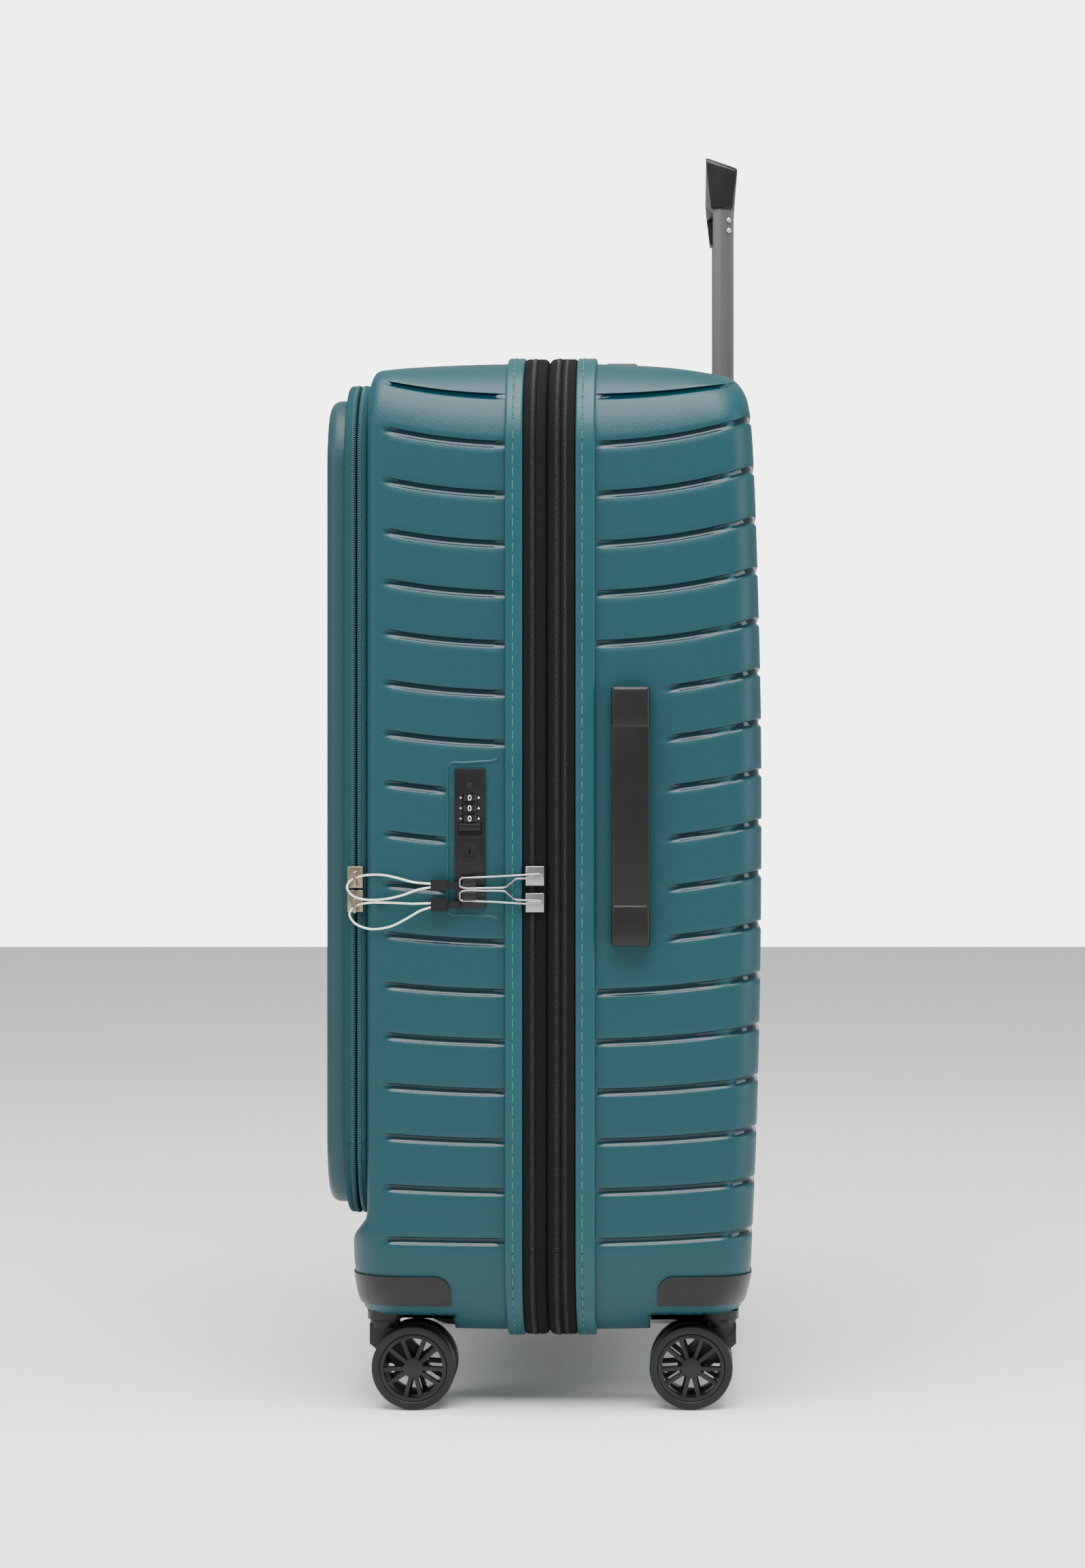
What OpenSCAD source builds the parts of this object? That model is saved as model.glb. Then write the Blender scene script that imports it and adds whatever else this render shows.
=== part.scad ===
// Hard shell suitcase on four twin casters, with a zipped front pocket.
// X is the width (lock side +X), Y the depth (front pocket -Y), Z is up, floor at Z = 0.

/* [Case] */
// Width over the bindings
case_w = 520; // [460:1:600]
// Height over the bindings, without wheels and handles
case_h = 720; // [620:1:820]
// Gap between the floor and the bindings
ground_gap = 50; // [46:1:60]
// Corner radius of the bindings in the front view
corner_r = 72; // [60:1:84]
// Depth of the front half, from the main zip to the shell's face
front_d = 122.3; // [110:0.1:150]
// Depth of the rear half, from the main zip to the back of the shell
rear_d = 163; // [150:0.5:196]
// Wall of both shells
shell_t = 2.4; // [1.8:0.1:3.2]

/* [Bindings and zips] */
// Width of the front binding
front_binding_w = 12.7; // [9:0.1:18]
// Width of the rear binding
rear_binding_w = 14.2; // [9:0.1:18]
// How far the bindings stand proud of the shells
binding_t = 4; // [2:0.5:6]
// Width of the front tape of the main zip
front_tape_w = 9.3; // [7:0.1:13]
// Width of the tape between the main zip and the expansion zip
middle_tape_w = 17.8; // [14:0.1:24]
// Width of the rear tape of the expansion zip
rear_tape_w = 10.1; // [7:0.1:13]
// Thickness of the zip tapes with their teeth
tape_t = 5; // [3:0.5:6]
// Thickness of lining and gusset cloth
cloth_t = 1.2; // [0.8:0.1:2]

/* [Front pocket] */
// Depth of the zipped band round the pocket
band_d = 17.2; // [14:0.1:24]
// Thickness of the band's cloth and teeth
band_t = 3; // [2:0.5:4]
// Depth of the door behind its edge
door_d = 13.8; // [10:0.1:20]
// Crown of the door past its edge
door_crown = 3.7; // [2:0.1:6]
// Distance from the side of the shell to the band
band_inset = 13; // [10:1:20]
// Height of the band's lower edge above the shell's underside
band_lift = 86; // [78:1:110]
// Depth of the pocket behind the shell's face
pocket_depth = 42; // [25:1:60]

/* [Trolley] */
// Width of the inner trolley tubes
tube_w = 20; // [16:0.5:24]
// Depth of the inner trolley tubes
tube_d = 15.9; // [13:0.1:18]
// Wall of the trolley tubes
tube_t = 1.2; // [1:0.1:1.5]
// Gap between one trolley tube and the next
tube_gap = 0.5; // [0.3:0.1:0.7]
// Distance between the centres of the two tubes
tube_spacing = 180; // [140:1:220]
// Height of the grip's top above the bindings
grip_rise = 165; // [120:1:220]
// Height of the trolley grip, legs included
grip_h = 39; // [32:1:50]

/* [Carry handles] */
// Length of the side handle
side_handle_l = 186; // [150:1:230]
// Length of the top handle
top_handle_l = 186; // [150:1:230]
// Width of the side handle
side_handle_w = 27.5; // [22:0.5:32]
// Width of the top handle
top_handle_w = 24.5; // [20:0.5:30]
// How far the carry handles pull out
handle_travel = 15; // [8:1:18]

/* [Lock] */
// Length of the lock
lock_l = 100.4; // [92:0.1:120]
// Width of the lock
lock_w = 22; // [20:0.5:28]
// Radius of the number dials
dial_r = 7.3; // [6.5:0.1:7.5]

/* [Casters] */
// Diameter of the wheels
wheel_d = 60.8; // [52:0.2:62]
// Width of one wheel of a pair
wheel_w = 15; // [12:0.5:16]
// Distance from the swivel axis to the wheel axle
caster_trail = 22; // [18:0.5:24]
// Width of the caster fork between its wheels
fork_w = 13; // [10:0.5:16]
// Radius of the wheel axles
axle_r = 3; // [2:0.25:4]

/* [Hidden] */

$fn = 48;
HULL_FN = 32;
THIN = 0.05;        // thickness of a loft's sections
PAST = 1;           // how far a cut runs past a face
SLIDE_GAP = 0.3;    // between faces that move past each other
PIN_GAP = 0.05;     // radial clearance of a pin in its bore

half_w = case_w / 2;
case_top = ground_gap + case_h;
case_mid = ground_gap + case_h / 2;

// Stations along Y, from the split of the main zip
front_total = front_d + band_d + door_d + door_crown;
split_y = (front_total - rear_d) / 2;
front_rim_y = split_y - SLIDE_GAP / 2 - front_tape_w;
front_face_y = split_y - front_d;
band_split_y = front_face_y - band_d * 0.48;
door_back_y = front_face_y - band_d;
door_edge_y = door_back_y - door_d;
middle_y = split_y + SLIDE_GAP / 2;
middle_end_y = middle_y + middle_tape_w;
rear_tape_y = middle_end_y + SLIDE_GAP;
rear_rim_y = rear_tape_y + rear_tape_w;
back_y = split_y + rear_d;

// The shells' outline at their rims
shell_hw = half_w - binding_t;
shell_low = ground_gap + binding_t;
shell_high = case_top - binding_t;
shell_r = corner_r - binding_t;

// Front pocket outlines
band_hw = shell_hw - band_inset;
band_low = shell_low + band_lift;
band_high = shell_high - 16;
band_r = shell_r - 10;
flange_w = 11;
door_inset = 7;
door_hw = band_hw - door_inset;
door_low = band_low + door_inset;
door_high = band_high - door_inset - 4;
door_r = band_r - door_inset;
door_rim = 7;
pocket_inset = 12;

// Casters
wheel_r = wheel_d / 2;
caster_x = half_w - 57;
front_caster_y = front_face_y + 9.5;
rear_caster_y = back_y - 29.2;
recess_reach = 52;          // from the swivel axis to the recess walls
recess_top = wheel_d + 9.2;
base_r = 13;
base_low = recess_top - 6;
base_neck_r = 8;
base_flange_r = 12;
base_flange_h = 3.6;
swivel_pin_r = 4;
pair_gap = fork_w + 2;      // between the two wheels of a pair
axle_l = pair_gap + 2 * wheel_w - 4.4;
tyre_t = 6.2;
rim_r = wheel_r - tyre_t;
hub_r = 7.2;
spoke_w = 3;
spoke_spread = 15;          // half the angle inside a pair of spokes
spoke_t = 6;

// Lining
lining_inset = 16;
lining_hw = shell_hw - lining_inset;
lining_low = recess_top + 18;
lining_high = shell_high - lining_inset - 2;
lining_r = shell_r - lining_inset;

// Corner guards
guard_low = ground_gap + 26;
guard_high = ground_gap + 50;
guard_t = 1;
guard_reach_x = 66;
front_guard_y = front_caster_y + 50;
rear_guard_y = rear_caster_y - 50;

// Trolley
tube_y = back_y - 26.65;
tube_x = tube_spacing / 2;
tray_low = case_top - 55;
tray_high = case_top - 18;
tray_t = 2;
tray_hw = tube_x + 21;
tray_y0 = tube_y - 17.4;
tray_y1 = tube_y + 15.6;
tray_floor_t = 3;
tube_low = ground_gap + 18;
middle_g = tube_gap + tube_t;          // how far each tube stands outside the inner one
outer_g = middle_g + tube_gap + tube_t;
inner_tube_l = 660;
grip_socket = 20;
grip_top = case_top + grip_rise;
grip_low = grip_top - grip_h;
grip_d = 24;
grip_y = tube_y - 1.35;
grip_bar_h = 20;
leg_w = 26;
button_w = 28;
button_d = 12;
button_h = 7;
button_travel = 3;

// Side handle and top handle
end_l = 30;
grip_t = 8;
end_t = 10.8;
leg_a = 12;
leg_b = 10;
socket_wall = 2.5;
socket_gap = 0.4;
side_handle_y = rear_rim_y + 40;
side_handle_z = case_mid + 22.8;
side_seat_x = shell_hw + 0.9;
top_handle_y = rear_rim_y + 30;
top_seat_z = shell_high + 0.9;
seat_t = 4;
leg_depth = handle_travel + 9;

// Lock
lock_y = front_rim_y - 26.9 - lock_w / 2;
lock_z0 = case_mid - 43.4;
lock_in_x = shell_hw - 13;
lock_face_x = shell_hw + 1.5;
dial_x = lock_face_x + 1.7 - dial_r;
dial_w = 5;
dial_pitch = 7.5;
dial_z = lock_z0 + 79.5;    // height of the first dial
shaft_r = 1.5;
key_z = lock_z0 + 41.8;
key_r = 3.4;
key_depth = 10;
slide_z = lock_z0 + 55.9;
slide_h = 5;
slide_travel = 3;
slide_w = 16;

// Zip sliders and pullers
wire_t = 1.6;
slider_x = half_w - 1 + SLIDE_GAP;
slider_t = 3.2;
slider_y = split_y - 0.4;
puller_x = slider_x + slider_t + 0.7;
upper_slider_z = case_mid - 20;
lower_slider_z = case_mid - 39.2;
slider_half_l = 7;
bail_w = 2.2;
puller_len = lock_y - 6.9 - slider_y;
pocket_slider_x = band_hw + SLIDE_GAP;
pocket_slider_y = front_face_y - 8.5;
pocket_slider_t = 3.4;
pocket_slider_hl = 7.8;
pocket_upper_z = case_mid - 21.4;
pocket_lower_z = case_mid - 38.6;
upper_arch = -1;            // height of the arch over its slider's middle
lower_arch = -3.4;

// Side feet
foot_r = 9;
foot_x = half_w + 4;
foot_spigot_r = 4;
foot_low_z = ground_gap + 110;
foot_high_z = case_top - 110;
front_foot_y = front_rim_y - 40;
rear_foot_y = rear_rim_y + 42;

// Wire cables of the pocket sliders
cable_r = 0.75;
sleeve_w = 4.8;
sleeve_l = 12;
tongue_l = 8.4;
sleeve_y = lock_y - 27.65;
upper_sleeve_z = case_mid - 26.8;
upper_sleeve_h = 8;
upper_sleeve_x = half_w + 2.4;
lower_sleeve_z = case_mid - 40.9;
lower_sleeve_h = 9;
lower_sleeve_x = half_w + 1.6;
CABLE_SIDES = 8;
CABLE_STEPS = 3;            // rings for each stretch of the route
// Rows: out from the case's side, share of the way to the shell's face, height over its middle
upper_route = [
    [2.4, 0, -25.6], [1.6, 0.254, -24.6], [-0.4, 0.507, -21.6], [-3, 0.719, -19.6],
    [-7.4, 0.909, -19.4], [-10.6, 1.099, -20.6], [-10.8, 1.247, -24], [-10.4, 1.298, -29],
    [-9.6, 1.214, -34.4], [-7, 1.057, -37], [-3, 0.846, -37.4], [-0.2, 0.613, -36],
    [1.4, 0.402, -33.4], [2, 0.19, -29.8], [2.4, 0, -28]];
lower_route = [
    [1.6, 0, -39.6], [0.4, 0.275, -40], [-2, 0.507, -39.6], [-5, 0.74, -39.4],
    [-8.6, 0.93, -39.6], [-10.6, 1.099, -40.8], [-10.8, 1.205, -43.6], [-10.4, 1.26, -48.6],
    [-9.6, 1.171, -54.6], [-6.6, 0.994, -58], [-3, 0.803, -58.2], [-0.2, 0.592, -56],
    [1.4, 0.381, -51], [1.8, 0.169, -45.2], [1.6, 0, -42.2]];

// ---------- shared shapes ----------

// A rounded rectangle in X and Z, drawn in the XY plane
module rounded_plate(hw, low, high, r) {
    translate([-hw, low + r]) square([2 * hw, high - low - 2 * r]);
    translate([-(hw - r), low]) square([2 * (hw - r), high - low]);
    for (x = [-1, 1], z = [low + r, high - r])
        translate([x * (hw - r), z]) circle(r);
}

// The same plate stood up, from y0 to y1
module wall_plate(y0, y1, hw, low, high, r) {
    translate([0, y1, 0]) rotate([90, 0, 0]) linear_extrude(y1 - y0)
        rounded_plate(hw, low, high, r);
}

// A ring that follows the case outline, from y0 to y1
module outline_ring(y0, y1, hw, low, high, r, t) {
    difference() {
        wall_plate(y0, y1, hw, low, high, r);
        wall_plate(y0 - PAST, y1 + PAST, hw - t, low + t, high - t, r - t);
    }
}

// A smooth body through sections [y, half width, low, high, corner radius], grown by g
module loft(sections, g = 0) {
    mid_y = (sections[0][0] + sections[len(sections) - 1][0]) / 2;
    hull() for (s = sections)
        translate([0, s[0] - sign(s[0] - mid_y) * THIN / 2, 0]) rotate([90, 0, 0]) linear_extrude(THIN, center = true)
            rounded_plate(s[1] + g, s[2] - g, s[3] + g, s[4] + g, $fn = HULL_FN);
}

function front_sections(g) = [
    [front_rim_y, shell_hw, shell_low, shell_high, shell_r],
    [front_face_y + 30, shell_hw - 1.5, shell_low + 0.5, shell_high - 1, shell_r],
    [front_face_y + 7, shell_hw - 4, shell_low + 2, shell_high - 5, shell_r],
    [front_face_y - g, shell_hw - 10, shell_low + 8, shell_high - 14, shell_r - 6]];

function chin_sections(g) = [
    [front_face_y + 1.3, shell_hw - 12, shell_low + 2, band_low - 1.3, 41],
    [front_face_y - 7.7, shell_hw - 18, shell_low + 20, band_low - 4.3, 29],
    [front_face_y - 12.2 - g, shell_hw - 30, shell_low + 44, band_low - 12.3, 14]];

function rear_sections(g) = [
    [rear_rim_y, shell_hw, shell_low, shell_high, shell_r],
    [back_y - 60, shell_hw - 2.5, shell_low, shell_high - 3, shell_r],
    [back_y - 32, shell_hw - 4, shell_low + 1, shell_high - 6, shell_r - 1],
    [back_y - 18, shell_hw - 6.5, shell_low + 4, shell_high - 11, shell_r - 4],
    [back_y - 10.5, shell_hw - 11, shell_low + 8, shell_high - 26, shell_r - 10],
    [back_y - 6.5, shell_hw - 18, shell_low + 16, shell_high - 58, shell_r - 18],
    [back_y - 3 - g / 2, shell_hw - 31, shell_low + 146, shell_high - 154, shell_r - 23],
    [back_y - g, shell_hw - 56, shell_low + 286, shell_high - 296, shell_r - 28]];

// The space that casters turn in, on both sides, from y0 to y1 with wall g
module caster_recess(y0, y1, g = 0) {
    for (side = [-1, 1])
        translate([side > 0 ? caster_x - recess_reach - g : -half_w - 9, y0 - g, 0])
            cube([half_w + 9 - caster_x + recess_reach + g, y1 - y0 + 2 * g, recess_top + g]);
}

module at_casters(y) {
    for (side = [-1, 1]) translate([side * caster_x, y, 0]) children();
}

module foot_places(y) {
    for (z = [foot_low_z, foot_high_z])
        translate([-foot_x, y, z]) rotate([0, 90, 0]) children();
}

function tube_profile(g) = let (w = tube_w / 2 + g, d = tube_d / 2 + g) [
    [-w + 1.5, -d], [w - 1.5, -d], [w, -1.9], [w - 2.2, d], [-w + 2.2, d], [-w, -1.9]];

module tube_bars(low, high, g) {
    for (side = [-1, 1])
        translate([side * tube_x, tube_y, low]) linear_extrude(high - low)
            polygon(tube_profile(g));
}

module tube_pair(low, high, outer_g) {
    difference() {
        tube_bars(low, high, outer_g);
        tube_bars(low - PAST, high + PAST, outer_g - tube_t);
    }
}

// ---------- carry handle parts, drawn with Z as the way they pull out ----------

module carry_legs(l, grow) {
    for (side = [-1, 1])
        translate([side * (l / 2 - end_l / 2) - leg_a / 2 - grow, -leg_b / 2 - grow,
                   -leg_depth - grow])
            cube([leg_a + 2 * grow, leg_b + 2 * grow, leg_depth + 2 * grow + SLIDE_GAP]);
}

module carry_grip(l, w) {
    translate([-l / 2, -w / 2, SLIDE_GAP + end_t - grip_t]) cube([l, w, grip_t]);
    for (side = [-1, 1])
        translate([side * (l / 2 - end_l / 2) - end_l / 2, -w / 2, SLIDE_GAP])
            cube([end_l, w, end_t]);
    carry_legs(l, 0);
}

// The outside of the sockets: seats on the shell and boxes behind them
module carry_socket_blocks(l, w, gap = 0) {
    for (side = [-1, 1]) {
        translate([side * (l / 2 - end_l / 2) - end_l / 2, -w / 2, -seat_t])
            cube([end_l, w, seat_t]);
        translate([side * (l / 2 - end_l / 2) - leg_a / 2 - socket_wall - gap,
                   -leg_b / 2 - socket_wall - gap, -leg_depth - socket_wall - gap])
            cube([leg_a + 2 * (socket_wall + gap), leg_b + 2 * (socket_wall + gap),
                  leg_depth + socket_wall + gap]);
    }
}

module carry_sockets(l, w) {
    difference() {
        carry_socket_blocks(l, w);
        carry_legs(l, socket_gap);
    }
}

module at_side_handle() {
    translate([side_seat_x, side_handle_y, side_handle_z]) rotate([0, 90, 0]) children();
}

module at_top_handle() {
    translate([0, top_handle_y, top_seat_z]) children();
}

// ---------- rear half ----------

module rear_shell() {
    color([0.16, 0.37, 0.40]) difference() {
        loft(rear_sections(0));
        difference() {
            loft(concat([[rear_rim_y - PAST, shell_hw, shell_low, shell_high, shell_r]],
                        rear_sections(-shell_t)), -shell_t);
            caster_recess(rear_caster_y - recess_reach, back_y + PAST, shell_t);
        }
        caster_recess(rear_caster_y - recess_reach, back_y + PAST);
        at_casters(rear_caster_y) cylinder(r = base_neck_r, h = recess_top + 20);
        at_side_handle() carry_socket_blocks(side_handle_l, side_handle_w);
        at_top_handle() carry_socket_blocks(top_handle_l, top_handle_w);
        translate([-tray_hw, tray_y0, tray_low]) cube([2 * tray_hw, tray_y1 - tray_y0, 60]);
        foot_places(rear_foot_y) cylinder(r = foot_spigot_r, h = 20);
    }
}

module rear_binding() {
    color([0.19, 0.43, 0.45]) outline_ring(rear_rim_y, rear_rim_y + rear_binding_w, half_w,
        ground_gap, case_top, corner_r, binding_t);
}

module zip_ring(y0, y1) {
    outline_ring(y0, y1, half_w - 1, ground_gap + 1, case_top - 1, corner_r - 1, tape_t);
}

module rear_zip_tape() {
    color([0.15, 0.15, 0.17]) zip_ring(rear_tape_y, rear_rim_y);
}

// Folded cloth under the expansion zip: it hangs from the rear tape
module expansion_gusset() {
    inner = 1 + tape_t + SLIDE_GAP + 0.1;
    color([0.13, 0.13, 0.15]) {
        outline_ring(middle_y + 8, rear_rim_y, half_w - inner, ground_gap + inner,
            case_top - inner, corner_r - inner, cloth_t);
        outline_ring(rear_tape_y + 3, rear_rim_y, half_w - 1 - tape_t, ground_gap + 1 + tape_t,
            case_top - 1 - tape_t, corner_r - 1 - tape_t, inner - 1 - tape_t + 0.2);
    }
}

// An open tray of lining cloth, from its rim to its floor
module lining_tray(y_rim, y_floor) {
    difference() {
        wall_plate(min(y_rim, y_floor), max(y_rim, y_floor), lining_hw, lining_low,
            lining_high, lining_r);
        wall_plate(min(y_rim, y_floor) + (y_floor < y_rim ? cloth_t : -PAST),
            max(y_rim, y_floor) - (y_floor < y_rim ? -PAST : cloth_t),
            lining_hw - cloth_t, lining_low + cloth_t, lining_high - cloth_t,
            lining_r - cloth_t);
    }
}

module rear_lining() {
    color([0.30, 0.32, 0.34]) difference() {
        lining_tray(rear_rim_y + 3, tray_y0 - 3);
        at_side_handle() carry_socket_blocks(side_handle_l, side_handle_w, 1);
        at_top_handle() carry_socket_blocks(top_handle_l, top_handle_w, 1);
    }
}

module trolley_tray() {
    color([0.16, 0.16, 0.18]) difference() {
        translate([-tray_hw, tray_y0, tray_low])
            cube([2 * tray_hw, tray_y1 - tray_y0, tray_high - tray_low]);
        translate([-tray_hw + tray_t, tray_y0 + tray_t, tray_low + tray_floor_t])
            cube([2 * (tray_hw - tray_t), tray_y1 - tray_y0 - 2 * tray_t, 60]);
        tube_bars(tray_low - PAST, tray_high, middle_g + tube_gap);
    }
}

module trolley_outer_tubes() {
    color([0.55, 0.55, 0.57]) {
        tube_pair(tube_low, tray_low, outer_g);
        tube_bars(tube_low - 4, tube_low, outer_g);
    }
}

module handle_sockets() {
    color([0.17, 0.17, 0.19]) {
        at_side_handle() carry_sockets(side_handle_l, side_handle_w);
        at_top_handle() carry_sockets(top_handle_l, top_handle_w);
    }
}

// Wrap of the lower corners, cut from a slightly larger copy of the shell
module guard_zone(y0, y1) {
    for (side = [-1, 1])
        translate([side > 0 ? half_w - guard_reach_x : -half_w - 9, y0, guard_low])
            cube([guard_reach_x + 9, y1 - y0, guard_high - guard_low]);
}

module rear_corner_guards() {
    color([0.17, 0.17, 0.19]) difference() {
        intersection() {
            loft(rear_sections(guard_t), guard_t);
            guard_zone(rear_guard_y, back_y + 9);
        }
        loft(rear_sections(0));
    }
}

module side_feet(y) {
    foot_places(y) {
        cylinder(r = foot_r, h = foot_x - shell_hw - 0.3);
        cylinder(r = foot_spigot_r, h = foot_x - shell_hw + 4.5);
    }
}

module rear_side_feet() {
    color([0.15, 0.15, 0.16]) side_feet(rear_foot_y);
}

module caster_bases(y) {
    at_casters(y) difference() {
        union() {
            translate([0, 0, base_low]) cylinder(r = base_r, h = recess_top - base_low);
            translate([0, 0, recess_top]) cylinder(r = base_neck_r, h = shell_t);
            translate([0, 0, recess_top + shell_t])
                cylinder(r = base_flange_r, h = base_flange_h);
        }
        cylinder(r = swivel_pin_r + PIN_GAP, h = case_h);
    }
}

module rear_caster_bases() {
    color([0.17, 0.17, 0.19]) caster_bases(rear_caster_y);
}

// ---------- zip frame between the halves ----------

module middle_zip_tape() {
    color([0.15, 0.15, 0.17]) zip_ring(middle_y, middle_end_y);
}

// ---------- front half ----------

module pocket_hole(y0, y1, gap) {
    wall_plate(y0, y1, band_hw - pocket_inset + gap, band_low + pocket_inset - gap,
        band_high - pocket_inset + gap, band_r - pocket_inset + gap);
}

module lock_block(gap = 0) {
    translate([lock_in_x - gap, lock_y - lock_w / 2 - gap, lock_z0 - gap])
        cube([lock_face_x - lock_in_x + gap, lock_w + 2 * gap, lock_l + 2 * gap]);
}

module front_shell() {
    color([0.16, 0.37, 0.40]) difference() {
        union() {
            loft(front_sections(0));
            loft(chin_sections(0));
        }
        difference() {
            union() {
                loft(concat([[front_rim_y + PAST, shell_hw, shell_low, shell_high, shell_r]],
                            front_sections(-shell_t)), -shell_t);
                loft(concat([[front_face_y + 12, shell_hw - 14, shell_low + 6,
                              band_low - 1.3, 41]], chin_sections(-shell_t)), -shell_t);
            }
            caster_recess(front_face_y - 30, front_caster_y + recess_reach, shell_t);
        }
        caster_recess(front_face_y - 30, front_caster_y + recess_reach);
        at_casters(front_caster_y) cylinder(r = base_neck_r, h = recess_top + 20);
        pocket_hole(front_face_y - PAST, front_face_y + 12, 0);
        lock_block();
        foot_places(front_foot_y) cylinder(r = foot_spigot_r, h = 20);
    }
}

module front_binding() {
    color([0.19, 0.43, 0.45]) outline_ring(front_rim_y - front_binding_w, front_rim_y, half_w,
        ground_gap, case_top, corner_r, binding_t);
}

module front_zip_tape() {
    color([0.15, 0.15, 0.17]) zip_ring(front_rim_y, split_y - SLIDE_GAP / 2);
}

module front_lining() {
    pocket_floor = front_face_y + pocket_depth;
    color([0.30, 0.32, 0.34]) {
        difference() {
            pocket_hole(front_face_y, pocket_floor, 0);
            pocket_hole(front_face_y - PAST, pocket_floor - cloth_t, -cloth_t);
        }
        lining_tray(front_rim_y - 2, pocket_floor + 4);
    }
}

// A band with a flange at one end, from y0 to y1
module band(y0, y1, flange_y) {
    outline_ring(y0, y1, band_hw, band_low, band_high, band_r, band_t);
    outline_ring(flange_y, flange_y + 2, band_hw, band_low, band_high, band_r, flange_w);
}

module pocket_zip_band() {
    color([0.27, 0.40, 0.43]) band(band_split_y + SLIDE_GAP / 2, front_face_y,
        front_face_y - 2);
}

module door_zip_band() {
    color([0.27, 0.40, 0.43]) band(door_back_y, band_split_y - SLIDE_GAP / 2, door_back_y);
}

door_sections = [
    [door_back_y, door_hw, door_low, door_high, door_r],
    [door_back_y - door_d * 0.6, door_hw, door_low, door_high, door_r],
    [door_edge_y, door_hw - 6, door_low + 6, door_high - 6, door_r - 5],
    [door_edge_y - door_crown, door_hw - 60, door_low + 150, door_high - 150, 30]];

module front_door() {
    color([0.18, 0.36, 0.38]) difference() {
        loft(door_sections);
        wall_plate(door_edge_y + shell_t, door_back_y + PAST, door_hw - door_rim,
            door_low + door_rim, door_high - door_rim, door_r - door_rim);
    }
}

module front_corner_guards() {
    color([0.17, 0.17, 0.19]) difference() {
        intersection() {
            union() {
                loft(front_sections(guard_t), guard_t);
                loft(chin_sections(guard_t), guard_t);
            }
            guard_zone(front_face_y - 30, front_guard_y);
        }
        loft(front_sections(0));
        loft(chin_sections(0));
    }
}

module front_side_feet() {
    color([0.15, 0.15, 0.16]) side_feet(front_foot_y);
}

module front_caster_bases() {
    color([0.17, 0.17, 0.19]) caster_bases(front_caster_y);
}

// ---------- lock ----------

function dial_height(i) = dial_z - i * dial_pitch;

module lock_housing() {
    window_w = 2 * sqrt(pow(dial_r, 2) - pow(lock_face_x - dial_x, 2)) + 1.4;
    color([0.20, 0.20, 0.22]) {
        difference() {
            union() {
                lock_block();
                translate([lock_face_x, lock_y - 8.2, key_z - 10.4]) cube([1, 16.4, 20]);
            }
            for (i = [0:2]) {
                translate([dial_x, lock_y, dial_height(i)])
                    cylinder(r = dial_r + 0.5, h = dial_w + 0.6, center = true);
                translate([dial_x, lock_y - window_w / 2, dial_height(i) - dial_w / 2 - 0.3])
                    cube([20, window_w, dial_w + 0.6]);
            }
            translate([dial_x, lock_y, dial_height(1)])
                cylinder(r = shaft_r, h = 3 * dial_pitch + 4, center = true);
            translate([lock_face_x + PAST - key_depth, lock_y, key_z - 1]) rotate([0, 90, 0])
                cylinder(r = key_r + PIN_GAP, h = key_depth + PAST);
            translate([lock_face_x - 1.6, lock_y - slide_w / 2 - 0.4,
                       slide_z - slide_travel - 0.4])
                cube([9, slide_w + 0.8, slide_h + slide_travel + 0.8]);
        }
        translate([dial_x, lock_y, dial_height(1)])
            cylinder(r = shaft_r, h = 3 * dial_pitch + 4, center = true);
    }
}

module lock_dial(i) {
    color([0.12, 0.12, 0.13]) translate([dial_x, lock_y, dial_height(i)]) difference() {
        cylinder(r = dial_r, h = dial_w, center = true);
        cylinder(r = shaft_r + 2 * PIN_GAP, h = dial_w + PAST, center = true);
    }
}

module key_cylinder() {
    color([0.30, 0.30, 0.31]) translate([lock_face_x + 1 - key_depth + 1, lock_y, key_z - 1])
        rotate([0, 90, 0]) difference() {
            cylinder(r = key_r, h = key_depth - 0.8);
            translate([-2.2, -0.5, key_depth - 3.8]) cube([4.4, 1, 9]);
        }
}

module lock_slide() {
    color([0.24, 0.24, 0.26]) translate([lock_face_x - 1.3, lock_y - slide_w / 2, slide_z])
        cube([3.1, slide_w, slide_h]);
}

// ---------- zip sliders ----------

// A slider on the main zip, with the bail that holds its puller
module main_slider(z) {
    color([0.75, 0.75, 0.76]) translate([slider_x, slider_y, z]) {
        translate([0, -6.6, -slider_half_l]) cube([slider_t, 13.2, 2 * slider_half_l]);
        for (y = [-4.6, 4.4])
            translate([slider_t, y - 0.8, -bail_w / 2]) cube([4.1, 1.6, bail_w]);
        translate([slider_t + 2.9, -5.4, -bail_w / 2]) cube([1.2, 10.6, bail_w]);
    }
}

// A flat wire frame that reaches from the slider to the lock
module main_puller(z, way) {
    l = puller_len;
    reach = wire_t / 2;
    color([0.72, 0.72, 0.74]) translate([puller_x, slider_y, z]) mirror([0, 0, way > 0 ? 0 : 1]) {
        rotate([90, 0, 90]) linear_extrude(wire_t) difference() {
            polygon([[reach + 0.1, -3.2], [reach + 0.1, 3.2],
                     [l, 0.2], [l, -9.4], [-21.6, -9], [-14.2, -3.2]]);
            polygon([[-reach + 0.1, -1.6], [-reach + 0.1, 1.6],
                     [l + wire_t, -1.4], [l + wire_t, -7.8], [-22.4, -7.4], [-15, -1.6]]);
        }
        translate([-0.8, l + 2.4, -7.9]) cube([wire_t + 0.9, 10, 6.6]);
    }
}

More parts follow.
